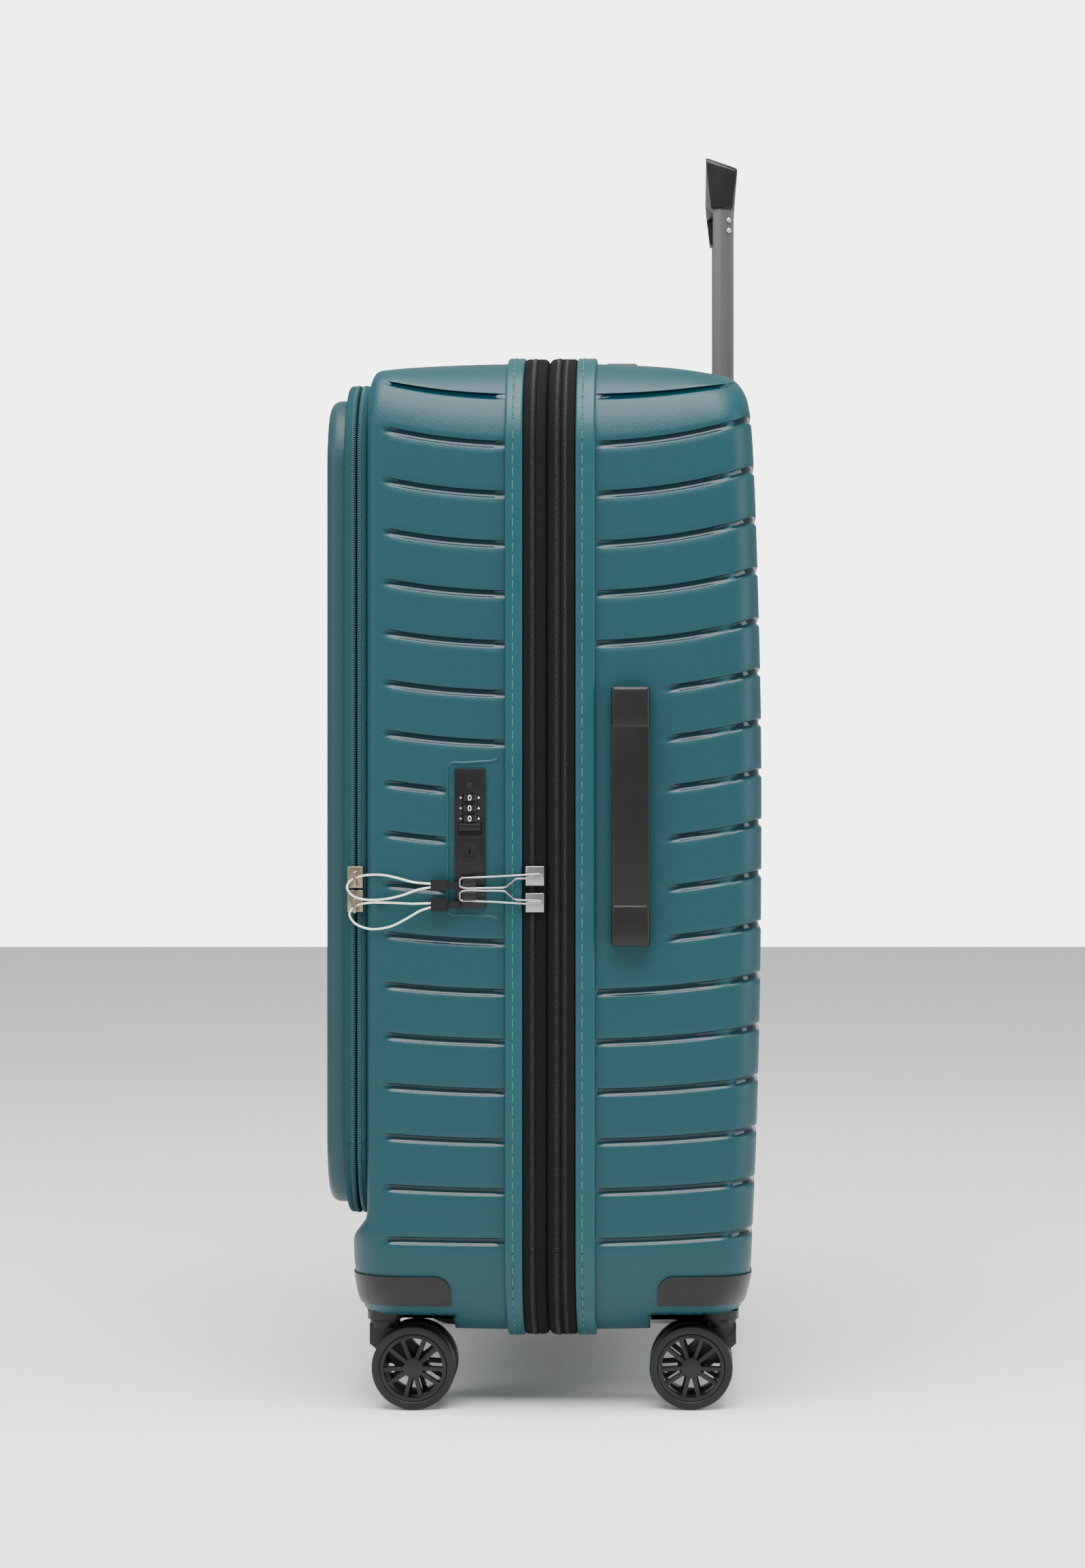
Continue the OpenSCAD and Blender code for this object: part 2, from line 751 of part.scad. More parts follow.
// A slider on the pocket zip, with the arch that its wire cable passes through
module pocket_slider(z, arch_z) {
    color([0.62, 0.57, 0.50]) translate([pocket_slider_x, pocket_slider_y, z]) {
        translate([0, -5.6, -pocket_slider_hl])
            cube([pocket_slider_t, 11.2, 2 * pocket_slider_hl]);
        for (h = [-4.4, 4.4])
            translate([pocket_slider_t, -1.2, arch_z + h - 0.6]) cube([5.4, 2.4, 1.2]);
        translate([pocket_slider_t + 4.2, -1.2, arch_z - 5]) cube([1.2, 2.4, 10]);
    }
}

// The sleeve that both ends of a cable are pressed into, and its locking tongue
module cable_end(x, z, h) {
    color([0.14, 0.14, 0.15]) translate([x, sleeve_y, z]) {
        translate([-sleeve_w / 2, 0, -h / 2]) cube([sleeve_w, sleeve_l, h]);
        translate([-0.6, sleeve_l, -2.6]) cube([1.6, tongue_l, 5.2]);
    }
}

// Points on a smooth curve through the route
function curve_point(a, b, c, d, t) = 0.5 * (2 * b + (c - a) * t
    + (2 * a - 5 * b + 4 * c - d) * t * t + (3 * b - a - 3 * c + d) * t * t * t);
function curve(r) = let (n = len(r)) [
    for (i = [0:n - 2], s = [0:CABLE_STEPS - 1])
        curve_point(r[max(i - 1, 0)], r[i], r[i + 1], r[min(i + 2, n - 1)], s / CABLE_STEPS),
    r[n - 1]];
function unit(v) = v / norm(v);

// A round tube swept along a route: the rings keep X as near as they can to one side
module swept_tube(route, radius) {
    p = curve(route);
    n = len(p);
    rings = [for (i = [0:n - 1]) let (
        along = unit(p[min(i + 1, n - 1)] - p[max(i - 1, 0)]),
        side = unit(cross(along, [1, 0, 0])),
        up = cross(side, along))
        for (k = [0:CABLE_SIDES - 1]) let (a = 360 * k / CABLE_SIDES)
            p[i] + radius * (cos(a) * side + sin(a) * up)];
    m = CABLE_SIDES;
    polyhedron(points = rings, faces = concat(
        [[for (k = [0:m - 1]) k]],
        [for (i = [0:n - 2], k = [0:m - 1])
            [i * m + k, (i + 1) * m + k, (i + 1) * m + (k + 1) % m, i * m + (k + 1) % m]],
        [[for (k = [m - 1:-1:0]) (n - 1) * m + k]]));
}

module pocket_cable(route) {
    reach = front_face_y - sleeve_y;
    color([0.85, 0.85, 0.82]) swept_tube(
        [for (p = route) [half_w + p[0], sleeve_y + p[1] * reach, case_mid + p[2]]], cable_r);
}

// ---------- carry handles and trolley ----------

module side_handle_grip() {
    color([0.17, 0.17, 0.19]) at_side_handle() carry_grip(side_handle_l, side_handle_w);
}

module top_handle_grip() {
    color([0.17, 0.17, 0.19]) at_top_handle() carry_grip(top_handle_l, top_handle_w);
}

module trolley_middle_tubes() {
    color([0.55, 0.55, 0.57]) tube_pair(tube_low + 30, tray_low + 1, middle_g);
}

module trolley_inner_tubes() {
    color([0.50, 0.50, 0.50]) tube_pair(grip_low + grip_socket - inner_tube_l, grip_low + grip_socket, 0);
}

module trolley_grip() {
    color([0.15, 0.15, 0.17]) difference() {
        union() {
            for (side = [-1, 1]) translate([side * tube_x - leg_w / 2, grip_y + grip_d / 2, 0])
                rotate([90, 0, 0]) linear_extrude(grip_d)
                    polygon([[2, grip_low], [leg_w - 2, grip_low], [leg_w, grip_top - 3],
                             [leg_w - 3, grip_top], [3, grip_top], [0, grip_top - 3]]);
            translate([-tube_x, grip_y - grip_d / 2, grip_top - grip_bar_h])
                cube([2 * tube_x, grip_d, grip_bar_h]);
        }
        tube_bars(grip_low - PAST, grip_low + grip_socket, 0);
        translate([-button_w / 2 - 0.4, grip_y - button_d / 2 - 0.4,
                   grip_top - button_h - button_travel + 1])
            cube([button_w + 0.8, button_d + 0.8, button_h + button_travel + PAST]);
    }
}

module trolley_button() {
    color([0.30, 0.30, 0.32]) translate([-button_w / 2, grip_y - button_d / 2,
                                         grip_top - button_h + 1.5])
        cube([button_w, button_d, button_h]);
}

// ---------- casters ----------

// way is the direction along Y from the swivel axis to the axle
module at_axle(x, y, way) {
    translate([x, y + way * caster_trail, wheel_r]) rotate([0, 90, 0]) children();
}

module fork(x, y, way) {
    color([0.17, 0.17, 0.19]) difference() {
        union() {
            translate([x, y, 0]) {
                translate([0, 0, base_low - SLIDE_GAP - 5.7]) cylinder(r = 11, h = 5.7);
                translate([0, 0, base_low - PAST])
                    cylinder(r = swivel_pin_r, h = recess_top + shell_t + 3 - base_low);
                mirror([0, way > 0 ? 0 : 1, 0]) translate([-fork_w / 2, 0, 0])
                    rotate([90, 0, 90]) linear_extrude(fork_w) hull() {
                        translate([-11, 46]) square([18.5, base_low - SLIDE_GAP - 46 - 3]);
                        translate([caster_trail, wheel_r]) circle(10);
                    }
            }
        }
        at_axle(x, y, way) cylinder(r = axle_r, h = 2 * fork_w, center = true);
    }
}

module axle(x, y, way) {
    color([0.6, 0.6, 0.62]) at_axle(x, y, way) cylinder(r = axle_r, h = axle_l, center = true);
}

// One rim, its open face away from the fork
module rim() {
    difference() {
        union() {
            difference() {
                cylinder(r = rim_r, h = wheel_w - 1);
                translate([0, 0, -PAST]) cylinder(r = rim_r - 2.6, h = wheel_w + PAST);
            }
            cylinder(r = hub_r, h = wheel_w - 1);
            for (i = [0:4], s = [-1, 1]) rotate([0, 0, i * 72 + s * spoke_spread])
                translate([hub_r - 1.5, -spoke_w / 2, wheel_w - 2 - spoke_t])
                    cube([rim_r - hub_r + 0.4, spoke_w, spoke_t]);
        }
        translate([0, 0, -PAST]) cylinder(r = axle_r + PIN_GAP, h = wheel_w - 1.5);
    }
}

module rims(x, y, way) {
    color([0.20, 0.20, 0.22]) at_axle(x, y, way) for (flip = [0, 1])
        mirror([0, 0, flip]) translate([0, 0, pair_gap / 2 + 0.5]) rim();
}

module tyres(x, y, way) {
    color([0.22, 0.22, 0.23]) at_axle(x, y, way) for (flip = [0, 1])
        mirror([0, 0, flip]) translate([0, 0, pair_gap / 2]) difference() {
            cylinder(r = wheel_r, h = wheel_w);
            translate([0, 0, -PAST]) cylinder(r = rim_r, h = wheel_w + 2 * PAST);
        }
}

// ---------- nodes ----------

rear_shell();
rear_binding();
rear_zip_tape();
expansion_gusset();
rear_lining();
trolley_tray();
trolley_outer_tubes();
handle_sockets();
rear_corner_guards();
rear_side_feet();
rear_caster_bases();
middle_zip_tape();
front_shell();
front_binding();
front_zip_tape();
front_lining();
pocket_zip_band();
lock_housing();
front_corner_guards();
front_side_feet();
front_caster_bases();
front_door();
door_zip_band();
lock_dial(0);  // lock_dial_1
lock_dial(1);  // lock_dial_2
lock_dial(2);  // lock_dial_3
key_cylinder();
lock_slide();
main_slider(upper_slider_z);  // main_slider_upper
main_puller(upper_slider_z, 1);  // main_puller_upper
main_slider(lower_slider_z);  // main_slider_lower
main_puller(lower_slider_z, -1);  // main_puller_lower
pocket_slider(pocket_upper_z, upper_arch);  // pocket_slider_upper
cable_end(upper_sleeve_x, upper_sleeve_z,  // cable_end_upper
    upper_sleeve_h);
pocket_cable(upper_route);  // pocket_cable_upper
pocket_slider(pocket_lower_z, lower_arch);  // pocket_slider_lower
cable_end(lower_sleeve_x, lower_sleeve_z,  // cable_end_lower
    lower_sleeve_h);
pocket_cable(lower_route);  // pocket_cable_lower
side_handle_grip();
top_handle_grip();
trolley_middle_tubes();
trolley_inner_tubes();
trolley_grip();
trolley_button();
fork(-caster_x, front_caster_y, 1);  // front_left_fork
axle(-caster_x, front_caster_y, 1);  // front_left_axle
rims(-caster_x, front_caster_y, 1);  // front_left_rims
tyres(-caster_x, front_caster_y, 1);  // front_left_tyres
fork(caster_x, front_caster_y, 1);  // front_right_fork
axle(caster_x, front_caster_y, 1);  // front_right_axle
rims(caster_x, front_caster_y, 1);  // front_right_rims
tyres(caster_x, front_caster_y, 1);  // front_right_tyres
fork(-caster_x, rear_caster_y, -1);  // rear_left_fork
axle(-caster_x, rear_caster_y, -1);  // rear_left_axle
rims(-caster_x, rear_caster_y, -1);  // rear_left_rims
tyres(-caster_x, rear_caster_y, -1);  // rear_left_tyres
fork(caster_x, rear_caster_y, -1);  // rear_right_fork
axle(caster_x, rear_caster_y, -1);  // rear_right_axle
rims(caster_x, rear_caster_y, -1);  // rear_right_rims
tyres(caster_x, rear_caster_y, -1);  // rear_right_tyres
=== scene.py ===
"""Ribbed hard shell suitcase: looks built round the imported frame. Metres, +Z up, lock side +X."""
import math
import bpy
import bmesh
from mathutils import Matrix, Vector


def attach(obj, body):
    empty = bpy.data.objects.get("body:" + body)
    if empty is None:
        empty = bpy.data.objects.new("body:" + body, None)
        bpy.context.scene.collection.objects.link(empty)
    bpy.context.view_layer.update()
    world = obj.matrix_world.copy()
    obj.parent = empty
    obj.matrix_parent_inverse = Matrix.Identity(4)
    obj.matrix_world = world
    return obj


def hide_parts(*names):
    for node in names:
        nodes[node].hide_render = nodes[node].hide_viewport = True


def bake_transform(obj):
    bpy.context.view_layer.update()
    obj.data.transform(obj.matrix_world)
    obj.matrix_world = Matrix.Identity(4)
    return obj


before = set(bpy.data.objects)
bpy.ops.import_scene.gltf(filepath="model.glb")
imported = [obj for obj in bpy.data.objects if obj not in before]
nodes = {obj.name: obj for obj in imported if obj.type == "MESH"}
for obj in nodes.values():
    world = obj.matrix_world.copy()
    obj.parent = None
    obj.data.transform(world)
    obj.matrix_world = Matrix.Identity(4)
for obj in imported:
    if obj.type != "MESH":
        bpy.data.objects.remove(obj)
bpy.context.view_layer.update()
MM = 0.001
MERGE = 0.00001  # points nearer than this are one point

# ---------- camera ----------

cam_data = bpy.data.cameras.new("camera")
cam_data.sensor_fit = "VERTICAL"
cam_data.sensor_height = 36.0
cam_data.lens = 79.9
cam_data.shift_x = -0.0963
cam = bpy.data.objects.new("camera", cam_data)
bpy.context.scene.collection.objects.link(cam)
cam.location = (2.76, 0.1105, 0.456)
cam.rotation_euler = (math.radians(90), 0, math.radians(90))
bpy.context.scene.camera = cam


# ---------- small helpers ----------

def deselect():
    for o in bpy.context.selected_objects:
        o.select_set(False)


def only(o):
    deselect()
    o.select_set(True)
    bpy.context.view_layer.objects.active = o


def apply_all(o):
    only(o)
    for m in list(o.modifiers):
        bpy.ops.object.modifier_apply(modifier=m.name)


def settle(o):
    """Puts the object's place, turn and size into its mesh."""
    only(o)
    bpy.ops.object.transform_apply(location=True, rotation=True, scale=True)


def smooth(o, angle=35):
    only(o)
    bpy.ops.object.shade_smooth_by_angle(angle=math.radians(angle))


def bevel(o, width, segments=3, angle=30):
    m = o.modifiers.new("edge", "BEVEL")
    m.width = width
    m.segments = segments
    m.limit_method = "ANGLE"
    m.angle_limit = math.radians(angle)
    m.harden_normals = False
    apply_all(o)


def paint(o, material):
    o.data.materials.clear()
    o.data.materials.append(material)


def linked(name, data):
    o = bpy.data.objects.new(name, data)
    bpy.context.scene.collection.objects.link(o)
    return o


def face_outwards(o, merge=None):
    """Turns every face outwards, after its doubles are merged."""
    only(o)
    bpy.ops.object.mode_set(mode="EDIT")
    bpy.ops.mesh.select_all(action="SELECT")
    if merge:
        bpy.ops.mesh.remove_doubles(threshold=merge)
    bpy.ops.mesh.normals_make_consistent(inside=False)
    bpy.ops.object.mode_set(mode="OBJECT")


def new_piece(name, mesh, material, body, *stands_for):
    o = linked(name, mesh)
    paint(o, material)
    if body:
        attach(o, body)
    if stands_for:
        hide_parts(*stands_for)
    return o


def soft_edged(node, name, material, body, width, segments=3, angle=30):
    """A copy of a CAD node with its faces joined and its edges rounded."""
    mesh = nodes[node].data.copy()
    mesh.name = name
    o = linked(name, mesh)
    only(o)
    bpy.ops.object.mode_set(mode="EDIT")
    bpy.ops.mesh.select_all(action="SELECT")
    bpy.ops.mesh.remove_doubles(threshold=2 * MERGE)
    bpy.ops.mesh.dissolve_limited(angle_limit=math.radians(1.0))
    bpy.ops.object.mode_set(mode="OBJECT")
    bevel(o, width, segments, angle)
    smooth(o)
    paint(o, material)
    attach(o, body)
    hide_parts(node)
    return o


def mesh_from(name, verts, faces, attributes=None):
    mesh = bpy.data.meshes.new(name)
    mesh.from_pydata(verts, [], faces)
    for key, values in (attributes or {}).items():
        a = mesh.attributes.new(key, "FLOAT", "POINT")
        a.data.foreach_set("value", values)
    mesh.validate()
    mesh.update()
    return mesh


def curve_value(points, x, column):
    """A smooth value between given points: rows of (x, value, value...)."""
    if x <= points[0][0]:
        return points[0][column]
    if x >= points[-1][0]:
        return points[-1][column]
    i = max(k for k in range(len(points) - 1) if points[k][0] <= x)
    x1, x2 = points[i][0], points[i + 1][0]
    p1, p2 = points[i][column], points[i + 1][column]

    def slope(k):
        a, b = max(k - 1, 0), min(k + 1, len(points) - 1)
        return (points[b][column] - points[a][column]) / (points[b][0] - points[a][0])

    t = (x - x1) / (x2 - x1)
    h = x2 - x1
    m1, m2 = slope(i) * h, slope(i + 1) * h
    return ((2 * t**3 - 3 * t**2 + 1) * p1 + (t**3 - 2 * t**2 + t) * m1
            + (3 * t**2 - 2 * t**3) * p2 + (t**3 - t**2) * m2)


def ease(a, b, x):
    t = min(max((x - a) / (b - a), 0), 1)
    return t * t * (3 - 2 * t)


def round_wire(name, line, radius, material, resolution=4, closed=False):
    """A round wire along points in metres."""
    curve = bpy.data.curves.new(name, "CURVE")
    curve.dimensions = "3D"
    curve.bevel_depth = radius
    curve.bevel_resolution = resolution
    curve.use_fill_caps = not closed
    spline = curve.splines.new("POLY")
    spline.points.add(len(line) - 1)
    for point, place in zip(spline.points, line):
        point.co = (*place, 1)
    spline.use_cyclic_u = closed
    spline.use_smooth = True
    curve.materials.append(material)
    return linked(name, curve)


# ---------- materials ----------

def rgb(r, g, b):
    """Linear colour from eight-bit display values."""
    def lin(c):
        c = c / 255
        return c / 12.92 if c <= 0.04045 else ((c + 0.055) / 1.055) ** 2.4
    return (lin(r), lin(g), lin(b), 1)


class Paint:
    """A short way to wire one procedural material."""

    def __init__(self, name, colour, rough, metal=0.0):
        self.mat = bpy.data.materials.new(name)
        self.mat.use_nodes = True
        self.tree = self.mat.node_tree
        self.shader = self.tree.nodes["Principled BSDF"]
        self.shader.inputs["Base Color"].default_value = colour
        self.shader.inputs["Roughness"].default_value = rough
        self.shader.inputs["Metallic"].default_value = metal
        self.shader.inputs["Specular IOR Level"].default_value = 0.25
        self.where = self.add("ShaderNodeTexCoord").outputs["Object"]
        self.height = None

    def add(self, kind, **values):
        n = self.tree.nodes.new(kind)
        for k, v in values.items():
            setattr(n, k, v)
        return n

    def link(self, a, b):
        self.tree.links.new(a, b)

    def stretched(self, scale):
        m = self.add("ShaderNodeMapping")
        m.inputs["Scale"].default_value = scale
        self.link(self.where, m.inputs["Vector"])
        return m.outputs["Vector"]

    def noise(self, scale, detail=3, vector=None):
        n = self.add("ShaderNodeTexNoise")
        n.inputs["Scale"].default_value = scale
        n.inputs["Detail"].default_value = detail
        self.link(vector or self.where, n.inputs["Vector"])
        return n.outputs["Fac"]

    def pick(self, value, low, high, out_low, out_high):
        m = self.add("ShaderNodeMapRange")
        for key, v in zip(("From Min", "From Max", "To Min", "To Max"),
                          (low, high, out_low, out_high)):
            m.inputs[key].default_value = v
        self.link(value, m.inputs["Value"])
        return m.outputs["Result"]

    def tint(self, factor, low, high):
        """Colour between two shades by a factor."""
        m = self.add("ShaderNodeMix", data_type="RGBA")
        m.inputs[6].default_value = low
        m.inputs[7].default_value = high
        self.link(factor, m.inputs[0])
        self.link(m.outputs[2], self.shader.inputs["Base Color"])

    def rough(self, value, low, high, out_low, out_high):
        self.link(self.pick(value, low, high, out_low, out_high), self.shader.inputs["Roughness"])

    def bump(self, value, distance, strength=1.0):
        b = self.add("ShaderNodeBump")
        b.inputs["Distance"].default_value = distance
        b.inputs["Strength"].default_value = strength
        self.link(value, b.inputs["Height"])
        if self.height is not None:
            self.link(self.height, b.inputs["Normal"])
        self.height = b.outputs["Normal"]
        self.link(self.height, self.shader.inputs["Normal"])

    def attribute(self, name):
        return self.add("ShaderNodeAttribute", attribute_name=name).outputs["Fac"]


def times(c, k):
    return (c[0] * k, c[1] * k, c[2] * k, 1)


def shell_material(name, colour, groove_shade_colour):
    """Matt grained ribs and glossy groove floors, the floors painted darker as painted shade in the
    grooves: the mesh says where each is.
    """
    p = Paint(name, colour, 0.5)
    groove_gloss_and_shade = p.attribute("groove_gloss_and_shade")
    cloud = p.noise(9, 2)
    grain = p.noise(900, 2)
    ribs = p.add("ShaderNodeMix", data_type="RGBA")
    ribs.inputs[6].default_value = times(colour, 0.93)
    ribs.inputs[7].default_value = times(colour, 1.08)
    p.link(cloud, ribs.inputs[0])
    both = p.add("ShaderNodeMix", data_type="RGBA")
    p.link(groove_gloss_and_shade, both.inputs[0])
    p.link(ribs.outputs[2], both.inputs[6])
    # painted shade: the groove floors take the darker groove colour
    both.inputs[7].default_value = groove_shade_colour
    p.link(both.outputs[2], p.shader.inputs["Base Color"])
    p.rough(groove_gloss_and_shade, 0, 1, 0.44, 0.08)
    height = p.add("ShaderNodeMath", operation="MULTIPLY")
    p.link(grain, height.inputs[0])
    p.link(p.pick(groove_gloss_and_shade, 0, 1, 1, 0.02), height.inputs[1])
    p.bump(height.outputs[0], 0.00035, 0.55)
    return p.mat


def grained(name, colour, rough, scale=900, depth=0.0002):
    p = Paint(name, colour, rough)
    p.tint(p.noise(14, 2), times(colour, 0.9), times(colour, 1.12))
    p.rough(p.noise(40, 2), 0.3, 0.7, rough - 0.06, rough + 0.06)
    p.bump(p.noise(scale, 2), depth, 0.5)
    return p.mat


def brushed(name, colour, rough, stretch):
    p = Paint(name, colour, rough, 1.0)
    fine = p.noise(120, 4, p.stretched(stretch))
    p.tint(fine, times(colour, 0.85), times(colour, 1.1))
    p.rough(fine, 0.3, 0.7, rough - 0.08, rough + 0.1)
    p.bump(fine, 0.00004, 0.4)
    return p.mat


def woven(name, colour, thread=0.0006):
    """Cloth tape: threads along the tape and across it, from the mesh's own lengths."""
    p = Paint(name, colour, 0.85)
    along = p.attribute("along")
    across = p.attribute("across")
    waves = []
    for value in (along, across):
        m = p.add("ShaderNodeMath", operation="MULTIPLY")
        m.inputs[1].default_value = 2 * math.pi / thread
        p.link(value, m.inputs[0])
        s = p.add("ShaderNodeMath", operation="SINE")
        p.link(m.outputs[0], s.inputs[0])
        waves.append(s.outputs[0])
    cross = p.add("ShaderNodeMath", operation="MULTIPLY")
    p.link(waves[0], cross.inputs[0])
    p.link(waves[1], cross.inputs[1])
    p.tint(p.pick(cross.outputs[0], -1, 1, 0, 1), times(colour, 0.78), times(colour, 1.2))
    p.bump(cross.outputs[0], 0.00012, 0.6)
    p.shader.inputs["Specular IOR Level"].default_value = 0.1
    return p.mat


TEAL = (0.0028, 0.036, 0.045, 1)
# each shell material's second colour is the painted shade of its groove floors
shell_teal = shell_material("shell_teal", TEAL, (0.0008, 0.013, 0.019, 1))
door_teal = shell_material("door_teal", (0.006, 0.032, 0.038, 1), (0.002, 0.014, 0.018, 1))
binding_teal = grained("binding_teal", (0.004, 0.044, 0.051, 1), 0.4, 700, 0.0002)
zip_black = woven("zip_black", (0.004, 0.004, 0.005, 1))
teeth_black = grained("teeth_black", (0.007, 0.007, 0.009, 1), 0.5, 1200, 0.0001)
zip_teal = woven("zip_teal", (0.01, 0.042, 0.048, 1))
teeth_teal = grained("teeth_teal", (0.014, 0.056, 0.063, 1), 0.5, 1200, 0.0001)
thread_pale = grained("thread_pale", (0.02, 0.1, 0.1, 1), 0.7, 2000, 0.0001)
black_plastic = grained("black_plastic", (0.0045, 0.0043, 0.005, 1), 0.38)
lock_plastic = grained("lock_plastic", (0.004, 0.004, 0.0048, 1), 0.35)
wheel_plastic = grained("wheel_plastic", (0.007, 0.007, 0.008, 1), 0.38)
tyre_rubber = grained("tyre_rubber", (0.006, 0.006, 0.007, 1), 0.5, 500, 0.0002)
# near black: the painted shade in the stitch holes, and the lock window's face
hole_shade_and_window = grained("hole_shade_and_window", rgb(14, 14, 16), 0.6)
white_mark = grained("white_mark", rgb(225, 225, 225), 0.6)
aluminium = brushed("tube_aluminium", (0.11, 0.11, 0.108, 1), 0.42, (1, 1, 0.02))
chrome = brushed("slider_chrome", (0.27, 0.27, 0.28, 1), 0.24, (1, 1, 0.2))
pewter = brushed("slider_pewter", (0.26, 0.22, 0.16, 1), 0.3, (1, 1, 0.2))
steel = brushed("axle_steel", (0.5, 0.5, 0.52, 1), 0.3, (0.05, 1, 1))
cable_clear = grained("cable_wire", rgb(214, 214, 203), 0.3, 1500, 0.0001)
lining_grey = grained("lining_grey", rgb(112, 116, 120), 0.9, 1500, 0.0003)


# ---------- cords: the wire cables of the pocket sliders ----------

CABLE_D = 0.0015
UPPER_ROUTE = [
    (262.4, -77, 384.4), (261.6, -90, 385.4), (259.6, -102, 388.4), (257, -112, 390.4),
    (252.6, -121, 390.6), (249.4, -130, 389.4), (249.2, -137, 386), (249.6, -139.4, 381),
    (250.4, -135.4, 375.6), (253, -128, 373), (257, -118, 372.6), (259.8, -107, 374),
    (261.4, -97, 376.6), (262, -87, 380.2), (262.4, -77, 382)]
LOWER_ROUTE = [
    (261.6, -77, 370.4), (260.4, -91, 370), (258, -102, 370.4), (255, -113, 370.6),
    (251.4, -122, 370.4), (249.4, -130, 369.2), (249.2, -135, 366.4), (249.6, -137.6, 361.4),
    (250.4, -133.4, 355.4), (253.4, -125, 352), (257, -116, 351.8), (259.8, -106, 354),
    (261.4, -96, 359), (261.8, -86, 364.8), (261.6, -77, 367.8)]


def smooth_route(points, steps=6):
    pts = [Vector(p) * MM for p in points]
    out = []
    for i in range(len(pts) - 1):
        a, b = pts[max(i - 1, 0)], pts[i]
        c, d = pts[i + 1], pts[min(i + 2, len(pts) - 1)]
        for s in range(steps):
            t = s / steps
            out.append(0.5 * (2 * b + (c - a) * t + (2 * a - 5 * b + 4 * c - d) * t * t
                              + (3 * b - a - 3 * c + d) * t**3))
    out.append(pts[-1])
    return out


def wire_cable(name, route, body, node):
    line = smooth_route(route)
    o = round_wire(name, line, CABLE_D / 2, cable_clear)
    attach(o, body)
    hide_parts(node)


wire_cable("cable_upper", UPPER_ROUTE, "pocket_slide_upper", "pocket_cable_upper")
wire_cable("cable_lower", LOWER_ROUTE, "pocket_slide_lower", "pocket_cable_lower")


# ---------- ribbed shells ----------

CASE_HW = 256.0
CASE_LOW = 54.0
CASE_HIGH = 766.0
CASE_R = 68.0
ARC = CASE_R * math.pi / 2
GROOVES = 18
GROOVE_TOP = 735.9
GROOVE_PITCH = 35.87
GROOVE_W = 5.8
GROOVE_D = 2.0
SHELL_WALL = 2.2
RECESS_X = 151.0  # from the middle to a caster recess
RECESS_TOP = 70.0
RECESS_WALL = 2.0
REAR_RECESS_Y = 78.8
FRONT_RECESS_Y = -63.8


def rim_point(u):
    """Half width and height on the rim outline; u is the height on the straight side."""
    low, high = CASE_LOW + CASE_R, CASE_HIGH - CASE_R
    if u > high:
        a = (u - high) / CASE_R
        return CASE_HW - CASE_R + CASE_R * math.cos(a), high + CASE_R * math.sin(a)
    if u < low:
        a = (low - u) / CASE_R
        return CASE_HW - CASE_R + CASE_R * math.cos(a), low - CASE_R * math.sin(a)
    return CASE_HW, u


def groove_line(i):
    if i == 0:
        high = CASE_HIGH - CASE_R
        return high + CASE_R * math.asin((GROOVE_TOP - high) / CASE_R)
    return GROOVE_TOP - GROOVE_PITCH * i


def shell_rows():
    """Rows up the side: (u, groove number or None, share of the groove's depth)."""
    lines = [groove_line(i) for i in range(GROOVES)]
    half = GROOVE_W / 2
    profile = [(-half - 0.4, 0), (-half, 0.12), (-half + 0.9, 0.5), (-half + 1.9, 0.95),
               (0.5, 1.05), (half - 0.7, 1), (half - 0.3, 0.7), (half, 0.1), (half + 0.4, 0)]
    rows = []
    for i, u in enumerate(lines):
        rows += [(u + off, i, share) for off, share in profile]
    bottom, top = CASE_LOW + CASE_R - ARC, CASE_HIGH - CASE_R + ARC
    marks = sorted(lines)
    for a, b in zip(marks, marks[1:]):
        rows += [(a + (b - a) * k, None, 0) for k in (0.2, 0.35, 0.5, 0.65, 0.8)]
    rows += [(bottom + (marks[0] - 6 - bottom) * k / 22, None, 0) for k in range(23)]
    rows += [(marks[-1] + 6 + (top - marks[-1] - 6) * k / 10, None, 0) for k in range(11)]
    return sorted(rows)


def shell_path(w, rim, back, corner, draft, columns):
    """Plan points from the rim at +X round to the middle of the face, with path lengths."""
    sign = 1 if back > rim else -1
    depth = abs(back - rim)
    straight = depth - corner
    arc = corner * math.pi / 2
    across = w - draft - corner
    out = []
    for kind, share in columns:
        if kind == "side":
            d = share * straight
            out.append((w - draft * d / depth, rim + sign * d, d, (1, 0)))
        elif kind == "corner":
            a = share * math.pi / 2
            x = w - draft - corner + corner * math.cos(a) + draft * (1 - share) * corner / depth
            y = rim + sign * (straight + corner * math.sin(a))
            out.append((x, y, straight + share * arc, (math.cos(a), sign * math.sin(a))))
        else:
            out.append((across * (1 - share), back, straight + arc + share * across, (0, sign)))
    return out


